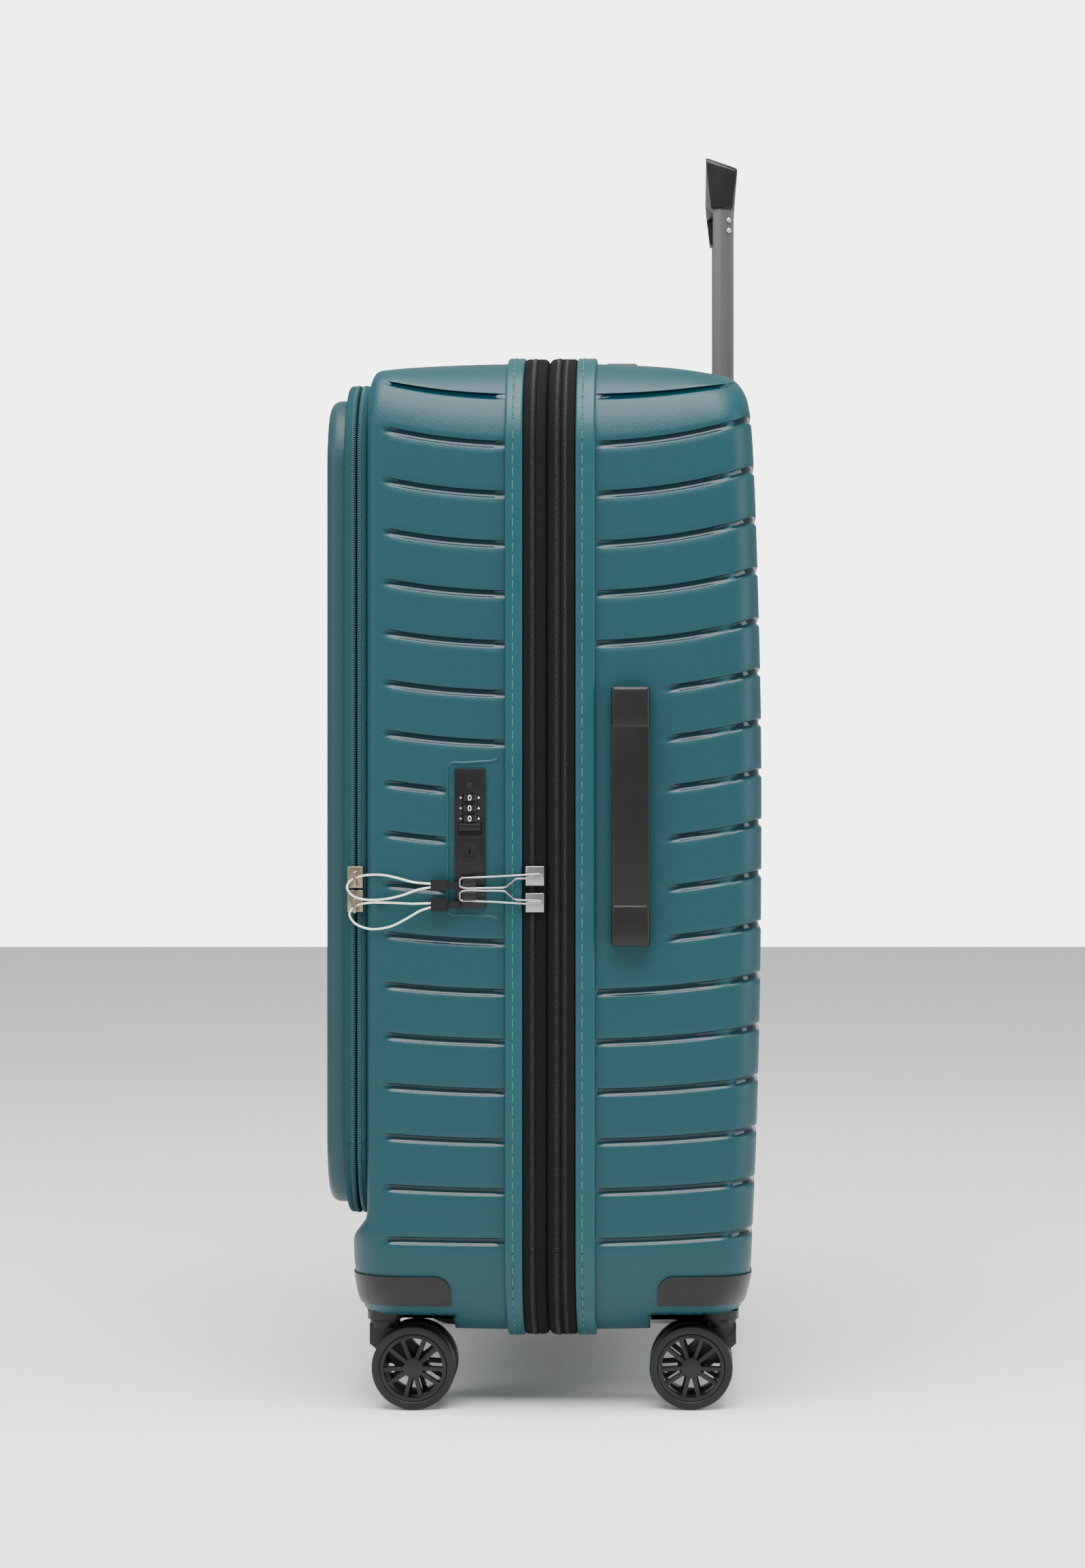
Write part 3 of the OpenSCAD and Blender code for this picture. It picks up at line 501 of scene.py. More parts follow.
def ribbed_shell(name, rim, face, corner, draft, start, end, gap, columns):
    """One shell's skin. face(u) gives the height and depth of the face at row u; start(i) and
    end(i) give where groove i runs and gap where a bridge crosses it, as lengths from the rim."""
    rows = shell_rows()
    verts, groove_gloss_and_shade, faces = [], [], []
    width = 0
    for u, groove, share in rows:
        w, z_rim = rim_point(u)
        z_face, y_face = face(u)
        c = min(corner(u), w * 0.6)
        half = shell_path(w, rim, y_face, c, draft, columns)
        total = abs(y_face - rim)
        line = []
        for x, y, d, (nx, ny) in half:
            rise = min(d / total, 1) ** 2.1
            z = z_rim + (z_face - z_rim) * rise
            depth = 0
            if groove is not None:
                a, b = start(groove), end(groove)
                depth = GROOVE_D * share * ease(a, a + 2.5, d) * (1 - ease(b - 5, b, d))
                depth *= 1 - 0.9 * ease(gap, gap + 1.5, d) * (1 - ease(gap + 5, gap + 6.5, d))
            lip = 1.0 * (1 - ease(2.4, 4.2, d))
            drop = depth + lip
            # the last value marks the groove floors: glossy, and painted darker as painted shade
            line.append((x - nx * drop, y - ny * drop, z, min(depth / GROOVE_D * 1.6, 1)))
        full = line + [(-x, y, z, g) for x, y, z, g in reversed(line[:-1])]
        width = len(full)
        for x, y, z, g in full:
            verts.append((x * MM, y * MM, z * MM))
            groove_gloss_and_shade.append(g)
    n = len(rows)
    for r in range(n - 1):
        for k in range(width - 1):
            a = r * width + k
            faces.append((a, a + 1, a + width + 1, a + width))
    for edge, flip in ((0, True), (n - 1, False)):
        faces += cap(verts, groove_gloss_and_shade, edge * width, width, rim, flip)
    if face(400)[1] < rim:
        faces = [tuple(reversed(f)) for f in faces]
    return mesh_from(name, verts, faces, {"groove_gloss_and_shade": groove_gloss_and_shade})


def cap(verts, groove_gloss_and_shade, first, width, rim, flip):
    """Closes the top or the underside, from its last row to the straight part of the rim."""
    steps = 10
    edge = [verts[first + k] for k in range(width)]
    w0 = edge[0][0]
    rings = [list(range(first, first + width))]
    for s in range(1, steps + 1):
        t = s / steps
        ring = []
        for k in range(width):
            x, y, z = edge[k]
            share = 1 - 2 * k / (width - 1)
            x1 = w0 * share
            ring.append(len(verts))
            z1 = edge[0][2]
            verts.append((x + (x1 - x) * t, y + (rim * MM - y) * t, z + (z1 - z) * t))
            groove_gloss_and_shade.append(0)
        rings.append(ring)
    out = []
    for a, b in zip(rings, rings[1:]):
        for k in range(width - 1):
            f = (a[k], a[k + 1], b[k + 1], b[k])
            out.append(tuple(reversed(f)) if flip else f)
    return out


def side_columns(straight_steps, corner_steps, across):
    columns = [("side", s) for s in straight_steps]
    columns += [("corner", (k + 1) / corner_steps) for k in range(corner_steps)]
    columns += [("across", s) for s in across]
    return columns


def combine(o, other, operation):
    m = o.modifiers.new("combine", "BOOLEAN")
    m.operation = operation
    m.solver = "EXACT"
    m.object = other
    apply_all(o)
    return o


def cut(o, *cutters):
    for c in cutters:
        combine(o, c, "DIFFERENCE")
        bpy.data.objects.remove(c)


def block(low, high, r=0.0, axis="Y"):
    """A cutting block between two corners in mm, its edges along axis rounded."""
    deselect()
    size = [b - a for a, b in zip(low, high)]
    bpy.ops.mesh.primitive_cube_add(size=1, location=[(a + b) / 2 * MM for a, b in zip(low, high)])
    o = bpy.context.object
    o.scale = [s * MM for s in size]
    settle(o)
    if r:
        bpy.ops.object.mode_set(mode="EDIT")
        bm = bmesh.from_edit_mesh(o.data)
        along = "XYZ".index(axis)
        for e in bm.edges:
            d = (e.verts[0].co - e.verts[1].co).normalized()
            e.select = abs(d[along]) > 0.99
        bmesh.update_edit_mesh(o.data)
        bpy.ops.mesh.select_mode(type="EDGE")
        bpy.ops.mesh.bevel(offset=r * MM, segments=12)
        bpy.ops.object.mode_set(mode="OBJECT")
    return o


def filled(o):
    """Closes the shell's open rim, so that it can be cut and crossed as a solid."""
    only(o)
    bpy.ops.object.mode_set(mode="EDIT")
    bpy.ops.mesh.select_all(action="SELECT")
    bpy.ops.mesh.remove_doubles(threshold=MERGE)
    bpy.ops.mesh.select_all(action="DESELECT")
    bpy.ops.mesh.select_mode(type="EDGE")
    bpy.ops.mesh.select_non_manifold(extend=False, use_wire=False, use_boundary=True,
                                     use_multi_face=False, use_non_contiguous=False,
                                     use_verts=False)
    bpy.ops.mesh.edge_face_add()
    bpy.ops.mesh.select_all(action="SELECT")
    bpy.ops.mesh.normals_make_consistent(inside=False)
    bpy.ops.object.mode_set(mode="OBJECT")
    return o


def twin(o, grown):
    """A copy of a solid, grown outwards by so many mm, or inwards below zero."""
    c = linked(o.name + "_twin", o.data.copy())
    m = c.modifiers.new("grow", "DISPLACE")
    m.mid_level = 0
    m.strength = grown * MM
    apply_all(c)
    return c


def recess_walls(solid, y0, y1):
    """Walls of the two caster recesses, trimmed to the shell. y0 is the inner wall's place."""
    out = []
    low, high = min(y0, y1), max(y0, y1)
    inner = -RECESS_WALL if y1 > y0 else RECESS_WALL
    for side in (-1, 1):
        x = sorted((side * (RECESS_X - RECESS_WALL), side * 300))
        x_cut = sorted((side * RECESS_X, side * 320))
        box = block((x[0], min(y0 + inner, low), 30),
                    (x[1], max(y0 + inner, high), RECESS_TOP + RECESS_WALL))
        cut(box, block((x_cut[0], min(low, y1 * 1.2), 20),
                       (x_cut[1], max(high, y1 * 1.2), RECESS_TOP)))
        out.append(combine(box, solid, "INTERSECT"))
    return out


def guards(name, solid, y0, y1, body, node):
    """Black corner guards: the shell's own surface, a little proud, over both lower corners."""
    skin = twin(solid, 1.3)
    core = twin(solid, -0.8)
    cut(skin, core)
    zones = []
    for side in (-1, 1):
        x = sorted((side * 194, side * 300))
        zone = block((x[0], min(y0, y1), 40), (x[1], max(y0, y1), 100.5), 12, "X")
        cut(zone, block((-310, -300, 0), (310, 300, 77.4)))
        zones.append(zone)
    join(zones[0], zones[1:])
    combine(skin, zones[0], "INTERSECT")
    bpy.data.objects.remove(zones[0])
    skin.name = name
    smooth(skin, 35)
    paint(skin, black_plastic)
    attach(skin, body)
    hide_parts(node)


def join(o, others):
    only(o)
    for x in others:
        x.select_set(True)
    bpy.ops.object.join()
    return o


def hollow(o, rim, way):
    """Leaves a wall inside the shell's skin and opens it at the rim, way being the open side."""
    core = twin(o, -SHELL_WALL)
    for v in core.data.vertices:
        if (v.co.y - (rim - way * 3) * MM) * way > 0:
            v.co.y += way * 6 * MM
    cut(o, core)


def walled(o):
    m = o.modifiers.new("wall", "SOLIDIFY")
    m.thickness = SHELL_WALL * MM
    m.offset = -1
    apply_all(o)


REAR_FACE = [  # u, height and depth of the back
    (15, 55, 126), (45, 60, 138), (70, 75, 146), (95, 99, 151.5), (126, 132.3, 153.4),
    (200, 208, 156.5), (300, 311.5, 159), (400, 414.5, 160), (500, 516, 159.5),
    (600, 618, 157), (660, 679, 154.8), (700, 719.5, 152.3), (725, 738.5, 149),
    (745, 750, 143), (770, 757, 135), (805, 760, 126)]
FRONT_FACE = [
    (15, 56, -112), (40, 59, -121), (60, 68, -129), (78, 82, -134), (95, 98, -136.2),
    (112, 114, -137.4), (124, 126, -136.6), (131, 133, -133), (137, 139.4, -127.5),
    (144, 147, -125.4), (160, 164, -125.3), (400, 409, -125.3), (600, 612, -125.3),
    (700, 714.6, -125.2), (722, 737, -124.8), (740, 750, -123), (760, 757.6, -120),
    (805, 762.5, -112)]
REAR_RIM = 26.0
FRONT_RIM = -13.0


def rear_shell():
    columns = side_columns(
        [0, 0.015, 0.03, 0.115, 0.13, 0.145, 0.2, 0.3, 0.4, 0.5, 0.58, 0.66, 0.685, 0.71, 0.8,
         0.9, 1], 8,
        [0.05, 0.1, 0.14, 0.16, 0.18, 0.22, 0.35, 0.5, 0.65, 0.8, 0.9, 1])
    mesh = ribbed_shell(
        "rear_shell_ribbed", REAR_RIM,
        lambda u: (curve_value(REAR_FACE, u, 1), curve_value(REAR_FACE, u, 2)),
        lambda u: 24 + 20 * ease(690, 800, u) + 14 * (1 - ease(40, 120, u)), 3.5,
        lambda i: 65 if 6 <= i <= 11 else 14.4,
        lambda i: 500 if i else 120, 107, columns)
    o = linked("rear_shell_ribbed", mesh)
    filled(o)
    recesses = recess_walls(o, REAR_RECESS_Y, 200)
    guards("rear_guards", o, 84.6, 300, "rear_case", "rear_corner_guards")
    hollow(o, REAR_RIM, -1)
    cut(o, block((RECESS_X, REAR_RECESS_Y, 20), (300, 200, RECESS_TOP)),
        block((-300, REAR_RECESS_Y, 20), (-RECESS_X, 200, RECESS_TOP)),
        block((-111, 116, 700), (111, 148.9, 790)))
    join(o, recesses)
    return o


def front_shell():
    columns = side_columns(
        [0, 0.02, 0.035, 0.17, 0.2, 0.24, 0.3, 0.4, 0.5, 0.56, 0.6, 0.65, 0.72, 0.8, 0.9,
         0.93, 0.97, 1], 6,
        [0.02, 0.04, 0.08, 0.15, 0.3, 0.5, 0.7, 0.85, 1])
    mesh = ribbed_shell(
        "front_shell_ribbed", FRONT_RIM,
        lambda u: (curve_value(FRONT_FACE, u, 1), curve_value(FRONT_FACE, u, 2)),
        lambda u: 8 + 12 * ease(690, 800, u) + 26 * (1 - ease(112, 146, u)), 3.0,
        lambda i: 56 if 8 <= i <= 10 else 15.2,
        lambda i: 99, 300, columns)
    o = linked("front_shell_ribbed", mesh)
    filled(o)
    recesses = recess_walls(o, FRONT_RECESS_Y, -200)
    guards("front_guards", o, -65, -300, "front_case", "front_corner_guards")
    hollow(o, FRONT_RIM, 1)
    cut(o, block((RECESS_X, -200, 20), (300, FRONT_RECESS_Y, RECESS_TOP)),
        block((-300, -200, 20), (-RECESS_X, FRONT_RECESS_Y, RECESS_TOP)),
        block((-231, -180, 152), (231, -100, 738), 46))
    join(o, recesses)
    return o


for build, body, stands in ((rear_shell, "rear_case", "rear_shell"),
                            (front_shell, "front_case", "front_shell")):
    shell = build()
    smooth(shell, 50)
    paint(shell, shell_teal)
    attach(shell, body)
    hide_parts(stands)


# ---------- rings that follow the case outline ----------

def outline(hw, low, high, r, step=6.0, arc_steps=16):
    """Points, outward normals and running length round the outline, in mm."""
    cx, z0, z1 = hw - r, low + r, high - r
    pts = []

    def line(a, b, n):
        count = max(2, int(math.dist(a, b) / step))
        for k in range(count):
            t = k / count
            pts.append((a[0] + (b[0] - a[0]) * t, a[1] + (b[1] - a[1]) * t, *n))

    def arc(c, a0):
        for k in range(arc_steps):
            a = a0 + math.pi / 2 * k / arc_steps
            pts.append((c[0] + r * math.cos(a), c[1] + r * math.sin(a),
                        math.cos(a), math.sin(a)))

    line((hw, z0), (hw, z1), (1, 0))
    arc((cx, z1), 0)
    line((cx, high), (-cx, high), (0, 1))
    arc((-cx, z1), math.pi / 2)
    line((-hw, z1), (-hw, z0), (-1, 0))
    arc((-cx, z0), math.pi)
    line((-cx, low), (cx, low), (0, -1))
    arc((cx, z0), 1.5 * math.pi)
    out, length = [], 0
    for i, p in enumerate(pts):
        if i:
            length += math.dist(p[:2], pts[i - 1][:2])
        out.append((*p, length))
    return out


def ring_piece(name, size, section, material, body, *stands):
    """Sweeps a closed section [(outward, y)] in mm round the outline."""
    path = outline(*size)
    m = len(section)
    verts, along, across, faces = [], [], [], []
    for x, z, nx, nz, s in path:
        for k, (out, y) in enumerate(section):
            verts.append(((x + nx * out) * MM, y * MM, (z + nz * out) * MM))
            along.append(s * MM)
            across.append(y * MM + out * MM)
    n = len(path)
    for i in range(n):
        for k in range(m):
            a, b = i * m + k, ((i + 1) % n) * m + k
            a2, b2 = i * m + (k + 1) % m, ((i + 1) % n) * m + (k + 1) % m
            faces.append((a, a2, b2, b))
    mesh = mesh_from(name, verts, faces, {"along": along, "across": across})
    o = new_piece(name, mesh, material, body, *stands)
    face_outwards(o)
    smooth(o, 40)
    return o


def dome(y0, y1, top, base, round0, round1=None, steps=5):
    """A section from y0 to y1 whose outer edges are rounded by round0 and round1."""
    round1 = round0 if round1 is None else round1
    pts = [(base, y0)]
    for k in range(steps + 1):
        a = math.pi / 2 * k / steps
        pts.append((top - round0 + round0 * math.sin(a), y0 + round0 * (1 - math.cos(a))))
    for k in range(steps + 1):
        a = math.pi / 2 * (1 - k / steps)
        pts.append((top - round1 + round1 * math.sin(a), y1 - round1 * (1 - math.cos(a))))
    pts.append((base, y1))
    return pts


CASE_SIZE = (260, 50, 770, 72)
FRONT_FLANGE = (-25.2, -12.5)
REAR_FLANGE = (25.5, 39.7)
ring_piece("front_piping", CASE_SIZE, dome(*FRONT_FLANGE, 0, -4.8, 1.6), binding_teal,
           "front_case", "front_binding")
ring_piece("rear_piping", CASE_SIZE, dome(*REAR_FLANGE, 0, -4.8, 1.6), binding_teal,
           "rear_case", "rear_binding")
ring_piece("front_tape", CASE_SIZE, dome(-12.5, -3.0, -0.6, -5.5, 2.2, 0.3), zip_black,
           "front_case", "front_zip_tape")
ring_piece("middle_tape_front", CASE_SIZE, dome(-2.8, 4.95, -0.6, -5.5, 0.3, 4.0), zip_black,
           "zip_frame", "middle_zip_tape")
ring_piece("middle_tape_rear", CASE_SIZE, dome(5.0, 14.9, -0.4, -5.5, 4.6, 0.3), zip_black,
           "zip_frame", "middle_zip_tape")
ring_piece("rear_tape", CASE_SIZE, dome(15.2, 25.5, -0.4, -5.5, 0.3, 2.4), zip_black,
           "rear_case", "rear_zip_tape")
gusset_outer = [(-6.5 - 0.5 * (k % 2), 22 - 1.4 * k) for k in range(14)]
gusset_inner = [(out - 0.8, y) for out, y in reversed(gusset_outer)]
gusset = ring_piece("gusset_cloth", CASE_SIZE, gusset_outer + gusset_inner, zip_black, None,
                    "expansion_gusset")
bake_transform(gusset)
BAND_SIZE = (243, 140, 750, 58)
ring_piece("pocket_band", BAND_SIZE, dome(-133.2, -125.3, 0, -9, 2.6), zip_teal,
           "front_case", "pocket_zip_band")
ring_piece("door_band", BAND_SIZE, dome(-142.5, -133.8, 0, -9, 3.0), zip_teal,
           "pocket_door", "door_zip_band")


def repeated(name, size, y, out, pitch, shape, material, body):
    """Copies of one small shape along the outline: shape is its box and lean in mm."""
    long, wide, high, lean = shape
    verts, faces, along = [], [], []
    path = outline(*size, 2.0, 40)
    path.append((*path[0][:4], path[-1][4] + 2.0))
    step = 0
    for a, b in zip(path, path[1:]):
        while step * pitch < b[4]:
            t = (step * pitch - a[4]) / (b[4] - a[4])
            if t >= 0:
                x, z = a[0] + (b[0] - a[0]) * t, a[1] + (b[1] - a[1]) * t
                nx, nz = a[2], a[3]
                tx, tz = -nz, nx
                base = len(verts)
                for ring, scale in ((0, 1.0), (high * 0.7, 0.85), (high, 0.45)):
                    for sy, st in ((-1, -1), (1, -1), (1, 1), (-1, 1)):
                        dt = st * long / 2 * scale + lean * sy
                        dy = sy * wide / 2 * scale
                        verts.append(((x + nx * (out + ring) + tx * dt) * MM, (y + dy) * MM,
                                      (z + nz * (out + ring) + tz * dt) * MM))
                        along.append(step * pitch * MM)
                for r in (0, 4):
                    for k in range(4):
                        p, q = base + r + k, base + r + (k + 1) % 4
                        faces.append((p, q, q + 4, p + 4))
                faces.append((base + 8, base + 9, base + 10, base + 11))
                faces.append((base + 3, base + 2, base + 1, base))
            step += 1
    mesh = mesh_from(name, verts, faces, {"along": along})
    o = new_piece(name, mesh, material, body)
    face_outwards(o)
    smooth(o, 60)


STITCH_PITCH = 9.0
STITCH = (6.6, 1.0, 0.75, 0)
# a dark box round each stitch: the painted shade of its holes
STITCH_SHADE = (8.8, 1.5, 0.45, 0)
TOOTH_PITCH = 1.7
TOOTH = (1.1, 3.4, 0.9)


def stitches(name, y, body):
    repeated(name, CASE_SIZE, y, -0.25, STITCH_PITCH, STITCH, thread_pale, body)
    # painted shade: a dark box under each stitch stands for the shade in its holes
    repeated(name + "_holes", CASE_SIZE, y, -0.4, STITCH_PITCH, STITCH_SHADE, hole_shade_and_window, body)


def teeth(name, size, y, out, material, body, lean):
    repeated(name, size, y, out, TOOTH_PITCH, (*TOOTH, lean), material, body)


stitches("front_stitches", -19.6, "front_case")
stitches("rear_stitches", 30.4, "rear_case")
teeth("main_teeth_front", CASE_SIZE, -5.6, -1.1, teeth_black, "front_case", 0.5)
teeth("main_teeth_middle", CASE_SIZE, -0.2, -1.6, teeth_black, "zip_frame", -0.5)
teeth("expansion_teeth", CASE_SIZE, 12.0, -0.8, teeth_black, "zip_frame", 0.5)
teeth("expansion_teeth_rear", CASE_SIZE, 18.2, -1.2, teeth_black, "rear_case", -0.5)
teeth("pocket_teeth", BAND_SIZE, -131.0, -0.5, teeth_teal, "front_case", 0.5)
teeth("door_teeth", BAND_SIZE, -136.0, -0.5, teeth_teal, "pocket_door", -0.5)


# ---------- pocket door ----------

DOOR_HW, DOOR_LOW, DOOR_HIGH, DOOR_R = 236.0, 147.5, 739.0, 51.0


def door_depth(x, z):
    """How far the door's face stands forward at a place: rounded edge, crown, ribs."""
    cx = max(abs(x) - (DOOR_HW - DOOR_R), 0)
    cz = max(abs(z - (DOOR_LOW + DOOR_HIGH) / 2) - ((DOOR_HIGH - DOOR_LOW) / 2 - DOOR_R), 0)
    if cx and cz:
        inside = DOOR_R - math.hypot(cx, cz)
    else:
        inside = min(DOOR_HW - abs(x), DOOR_HIGH - z, z - DOOR_LOW)
    edge = min(max(inside, 0) / 7, 1)
    crown = 3.2 * ease(10, 150, DOOR_HW - abs(x)) * ease(10, 150, min(DOOR_HIGH - z, z - DOOR_LOW))
    rib = 0.0
    for i in range(1, 16):
        off = abs(z - (GROOVE_TOP - GROOVE_PITCH * i + 12))
        rib = max(rib, 1 - ease(1.6, 3.0, off))
    rib *= ease(16, 22, inside)
    return 142.5 + 6 + 7.6 * math.sqrt(1 - (1 - edge) ** 2) + crown - 1.8 * rib, rib


def door():
    """The pocket's door: a shallow tray with a crowned face and level grooves."""
    heights = {DOOR_LOW, DOOR_HIGH}
    for k in range(15):
        a = math.pi / 2 * k / 14
        heights |= {DOOR_LOW + DOOR_R * (1 - math.cos(a)), DOOR_HIGH - DOOR_R * (1 - math.cos(a))}
    for i in range(1, 16):
        middle = GROOVE_TOP - GROOVE_PITCH * i + 12
        heights |= {middle + k for k in (-12, -6, -3, -2.3, -1.6, 0, 1.6, 2.3, 3, 6, 12)}
    rows = sorted(h for h in heights if DOOR_LOW <= h <= DOOR_HIGH)
    shares = [0, 0.004, 0.01, 0.02, 0.03, 0.045, 0.06, 0.08, 0.1, 0.15, 0.22, 0.3, 0.4, 0.5]
    shares += [1 - v for v in reversed(shares[:-1])]
    verts, faces, groove_gloss_and_shade = [], [], []
    for z in rows:
        c = max(abs(z - (DOOR_LOW + DOOR_HIGH) / 2) - ((DOOR_HIGH - DOOR_LOW) / 2 - DOOR_R), 0)
        w = DOOR_HW - DOOR_R + math.sqrt(max(DOOR_R ** 2 - c ** 2, 0))
        for share in shares:
            x = w - 2 * w * share
            y, rib = door_depth(x, z)
            verts.append((x * MM, -y * MM, z * MM))
            # the door's grooves: glossy, and painted darker as painted shade
            groove_gloss_and_shade.append(min(rib, 1))
    m = len(shares)
    for r in range(len(rows) - 1):
        for k in range(m - 1):
            a = r * m + k
            faces.append((a, a + m, a + m + 1, a + 1))
    n = len(rows)
    loop = ([k for k in range(m)] + [r * m + m - 1 for r in range(1, n)]
            + [(n - 1) * m + k for k in range(m - 2, -1, -1)] + [r * m for r in range(n - 2, 0, -1)])
    base = len(verts)
    for v in loop:
        verts.append((verts[v][0], -142.5 * MM, verts[v][2]))
        groove_gloss_and_shade.append(0)
    for i in range(len(loop)):
        j = (i + 1) % len(loop)
        faces.append((loop[i], loop[j], base + j, base + i))
    o = linked("door_panel", mesh_from("door_panel", verts, faces, {"groove_gloss_and_shade": groove_gloss_and_shade}))
    face_outwards(o, MERGE)
    walled(o)
    return o


panel = door()
smooth(panel, 40)
paint(panel, door_teal)
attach(panel, "pocket_door")
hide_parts("front_door")


# ---------- hard parts from the frame, edges rounded ----------

SOFT_PARTS = [  # node, name, material, body, edge radius in mm
    ("side_handle_grip", "side_grip", black_plastic, "side_handle", 2.2),
    ("top_handle_grip", "top_grip", black_plastic, "top_handle", 2.2),
    ("handle_sockets", "handle_seats", black_plastic, "rear_case", 0.5),
    ("trolley_tray", "trolley_well", black_plastic, "rear_case", 0.6),
    ("trolley_grip", "trolley_handgrip", black_plastic, "trolley_inner", 2.6),
    ("trolley_button", "grip_push_button", lock_plastic, "grip_button", 0.8),
    ("lock_housing", "lock_body", lock_plastic, "front_case", 0.5),
    ("lock_slide", "lock_release", lock_plastic, "lock_button", 0.5),
    ("main_slider_upper", "main_runner_upper", chrome, "main_slide_upper", 0.7),
    ("main_slider_lower", "main_runner_lower", chrome, "main_slide_lower", 0.7),
    ("pocket_slider_upper", "pocket_runner_upper", pewter, "pocket_slide_upper", 0.6),
    ("pocket_slider_lower", "pocket_runner_lower", pewter, "pocket_slide_lower", 0.6)]
for node, name, material, body, radius in SOFT_PARTS:
    soft_edged(node, name, material, body, radius * MM)
for v in bpy.data.objects["trolley_handgrip"].data.vertices:
    flare = 0.7 + 0.3 * ease(0.896, 0.926, v.co.z)
    v.co.y = 0.132 + (v.co.y - 0.132) * flare
    v.co.z -= 0.35 * (v.co.y - 0.120) * ease(0.918, 0.934, v.co.z)
for corner in ("front_left", "front_right", "rear_left", "rear_right"):
    soft_edged(corner + "_fork", corner + "_fork_body_shape", black_plastic,
               corner + "_fork_body", 0.0012)
    soft_edged(corner + "_rims", corner + "_spoked_rims", wheel_plastic, corner + "_wheels",
               0.0004, 2)
    soft_edged(corner + "_tyres", corner + "_treads", tyre_rubber, corner + "_wheels",
               0.002, 4)
    paint(nodes[corner + "_axle"], steel)

PAINTED = (
    (black_plastic, ("front_side_feet", "rear_side_feet", "front_caster_bases",
                     "rear_caster_bases", "cable_end_upper", "cable_end_lower")),
    (lock_plastic, ("lock_dial_1", "lock_dial_2", "lock_dial_3", "key_cylinder")),
    (aluminium, ("trolley_middle_tubes", "trolley_inner_tubes")),
    (lining_grey, ("front_lining", "rear_lining")))
for material, names in PAINTED:
    for name in names:
        paint(nodes[name], material)

outer_tubes = soft_edged("trolley_outer_tubes", "trolley_guide_tubes", aluminium, "rear_case",
                         0.0004, 2)
cut(outer_tubes, block((-150, 100, 20), (150, 170, 84)))


# ---------- pullers, lock marks, handle covers, rivets, hub caps ----------

def small_box(name, low, high, round_mm, material, body, segments=3):
    o = block(low, high)
    o.name = name
    bevel(o, round_mm * MM, segments)
    smooth(o)
    paint(o, material)
    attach(o, body)
    return o


def wire_loop(name, points, radius, material, body):
    """A round wire through points in mm that closes on itself."""
    pts = [Vector(q) * MM for q in points]
    n = len(pts)
    line = []
    for i in range(n):
        a, b, c = pts[i - 1], pts[i], pts[(i + 1) % n]
        cut_back = min(0.002, (b - a).length / 3, (c - b).length / 3)
        start = b + (a - b).normalized() * cut_back
        end = b + (c - b).normalized() * cut_back
        line += [start * (1 - t) ** 2 + b * 2 * t * (1 - t) + end * t * t
                 for t in (0, 0.25, 0.5, 0.75, 1)]
    o = round_wire(name, line, radius * MM, material, closed=True)
    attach(o, body)
    return o


def lock_bead():
    """The low bead that frames the lock on the front shell, open towards the flange."""
    corner, points = 5, []
    for a in range(7):
        t = math.pi / 2 * a / 6
        points.append((-66.6 + corner * (1 - math.sin(t)), 471.5 - corner * (1 - math.cos(t))))
    path = [(-30.5, 474)] + [(-32 - k * 3, 472.6 - 0.2 * k) for k in range(1, 9)] + points
    path += [(y, 361.5 - (z - 471.5)) for y, z in reversed(points)]
    path += [(-32 - k * 3, 360.4 + 0.2 * k) for k in range(8, 0, -1)] + [(-30.5, 359)]
    line = [((255.0 + (y + 30) * 0.03) * MM, y * MM, z * MM) for y, z in path]
    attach(round_wire("lock_bead", line, 0.0013, binding_teal, 3), "front_case")


lock_bead()
PULLER = [(-57.2, -1.6), (-30, -0.4), (0.2, 1.4), (1.0, -1.4), (-17.4, -2.0), (-24.6, -8.4),
          (-52, -8.9), (-57.2, -7.8)]
for which, height, way in (("upper", 390.0, 1), ("lower", 370.8, -1)):
    body = "main_pull_" + which
    loop = wire_loop("pull_wire_" + which, [(264.0, y, height + way * z) for y, z in PULLER],
                     0.8, chrome, body)
    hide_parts("main_puller_" + which)
    low, high = sorted((height - way * 1.4, height - way * 8.0))
    small_box("pull_block_" + which, (262.4, -55.2, low), (264.9, -45.2, high), 0.5,
              wheel_plastic, body)

for i, z in enumerate((446.1, 438.6, 431.1)):
    deselect()
    bpy.ops.mesh.primitive_torus_add(major_radius=0.00125, minor_radius=0.0003,
                                     major_segments=20, minor_segments=6,
                                     location=(0.25915, -0.05035, z * MM),
                                     rotation=(0, math.pi / 2, 0))
    digit = bpy.context.object
    digit.name = "dial_zero_%d" % (i + 1)
    digit.scale = (1.35, 0.85, 1)
    settle(digit)
    paint(digit, white_mark)
    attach(digit, "dial_%d" % (i + 1))
    small_box("dial_dash_%d" % (i + 1), (257.4, -57.6, z - 0.4), (257.7, -56.2, z + 0.4), 0.1,
              white_mark, "front_case", 1)
    deselect()
    bpy.ops.mesh.primitive_cone_add(vertices=3, radius1=0.0012, radius2=0.0009, depth=0.0003,
                                    location=(0.25755, -0.0440, z * MM),
                                    rotation=(math.pi / 2, 0, math.pi / 2))
    arrow = bpy.context.object
    arrow.name = "dial_arrow_%d" % (i + 1)
    settle(arrow)
    paint(arrow, white_mark)
    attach(arrow, "front_case")
small_box("lock_window", (257.3, -52.5, 452.4), (257.7, -48.2, 456.6), 0.15, hole_shade_and_window, "front_case")

for low, high in ((339.8, 369.9), (495.8, 525.8)):
    small_box("side_handle_cover_%d" % low, (257.4, 51.4, low), (268.6, 79.3, high), 2.6,
              black_plastic, "side_handle")
for low, high in ((-93.2, -62.9), (62.9, 93.2)):
    small_box("top_handle_cover_%d" % (low + 200), (low, 42.9, 767.6), (high, 67.8, 778.5), 2.6,
              black_plastic, "top_handle")

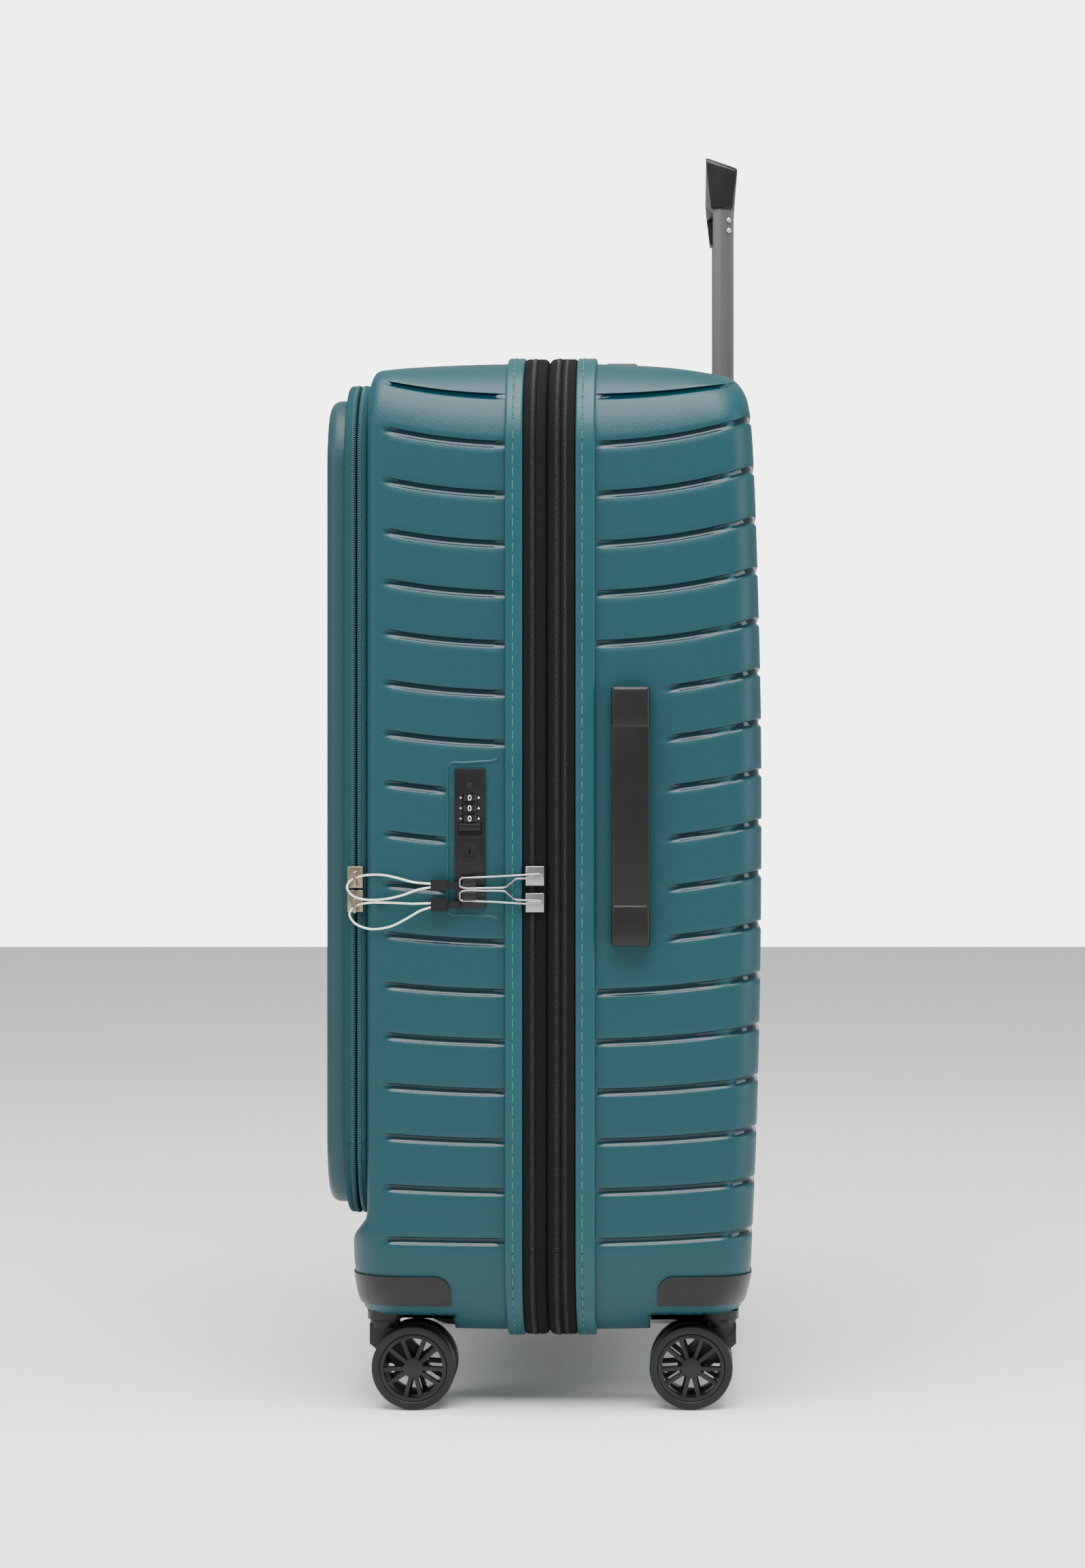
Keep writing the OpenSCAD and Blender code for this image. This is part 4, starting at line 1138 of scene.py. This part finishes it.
for side in (-1, 1):
    for z in (887, 879):
        deselect()
        bpy.ops.mesh.primitive_uv_sphere_add(radius=0.0019, segments=20, ring_count=10,
                                             location=(side * 0.0998, 0.1375, z * MM))
        rivet = bpy.context.object
        rivet.name = "tube_rivet"
        rivet.scale = (0.35, 1, 1)
        settle(rivet)
        smooth(rivet, 60)
        paint(rivet, steel)
        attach(rivet, "trolley_inner")

for corner, axle_x, cap_y in (("front_left", -203, -93.8), ("front_right", 203, -93.8),
                              ("rear_left", -203, 108.8), ("rear_right", 203, 108.8)):
    for side in (-1, 1):
        deselect()
        bpy.ops.mesh.primitive_cylinder_add(vertices=40, radius=0.0072, depth=0.0012,
                                            location=((axle_x + side * 22.2) * MM, cap_y * MM,
                                                      0.0304),
                                            rotation=(0, math.pi / 2, 0))
        cap_disc = bpy.context.object
        cap_disc.name = corner + "_hub_cap"
        settle(cap_disc)
        bevel(cap_disc, 0.0004, 2)
        smooth(cap_disc)
        paint(cap_disc, wheel_plastic)
        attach(cap_disc, corner + "_wheels")


# ---------- floor, light ----------

def floor():
    deselect()
    bpy.ops.mesh.primitive_plane_add(size=14, location=(0, 0, -0.0005))
    o = bpy.context.object
    o.name = "floor"
    p = Paint("studio_floor", rgb(243, 243, 243), 0.9)
    p.tint(p.noise(3, 1), rgb(242, 242, 242), rgb(245, 245, 245))
    paint(o, p.mat)


def area_light(name, place, target, size, power):
    data = bpy.data.lights.new(name, "AREA")
    data.shape = "RECTANGLE"
    data.size, data.size_y = size
    data.energy = power
    o = linked(name, data)
    o.location = place
    o.rotation_euler = (Vector(target) - Vector(place)).to_track_quat("-Z", "Y").to_euler()


floor()
world = bpy.data.worlds.new("studio")
bpy.context.scene.world = world
world.use_nodes = True
tree = world.node_tree
tree.nodes["Background"].inputs["Color"].default_value = (1, 1, 1, 1)
strength = tree.nodes.new("ShaderNodeMapRange")
path = tree.nodes.new("ShaderNodeLightPath")
tree.links.new(path.outputs["Is Camera Ray"], strength.inputs["Value"])
strength.inputs["To Min"].default_value = 0.75
strength.inputs["To Max"].default_value = 5.0
tree.links.new(strength.outputs["Result"], tree.nodes["Background"].inputs["Strength"])
area_light("overhead", (1.1, 0.0, 2.6), (0.1, 0, 0.4), (1.8, 2.4), 190)
area_light("front_side", (2.0, -2.4, 1.4), (0, 0, 0.4), (1.0, 1.8), 30)
area_light("back_side", (1.0, 2.8, 1.0), (0, 0, 0.4), (1.0, 2.0), 45)
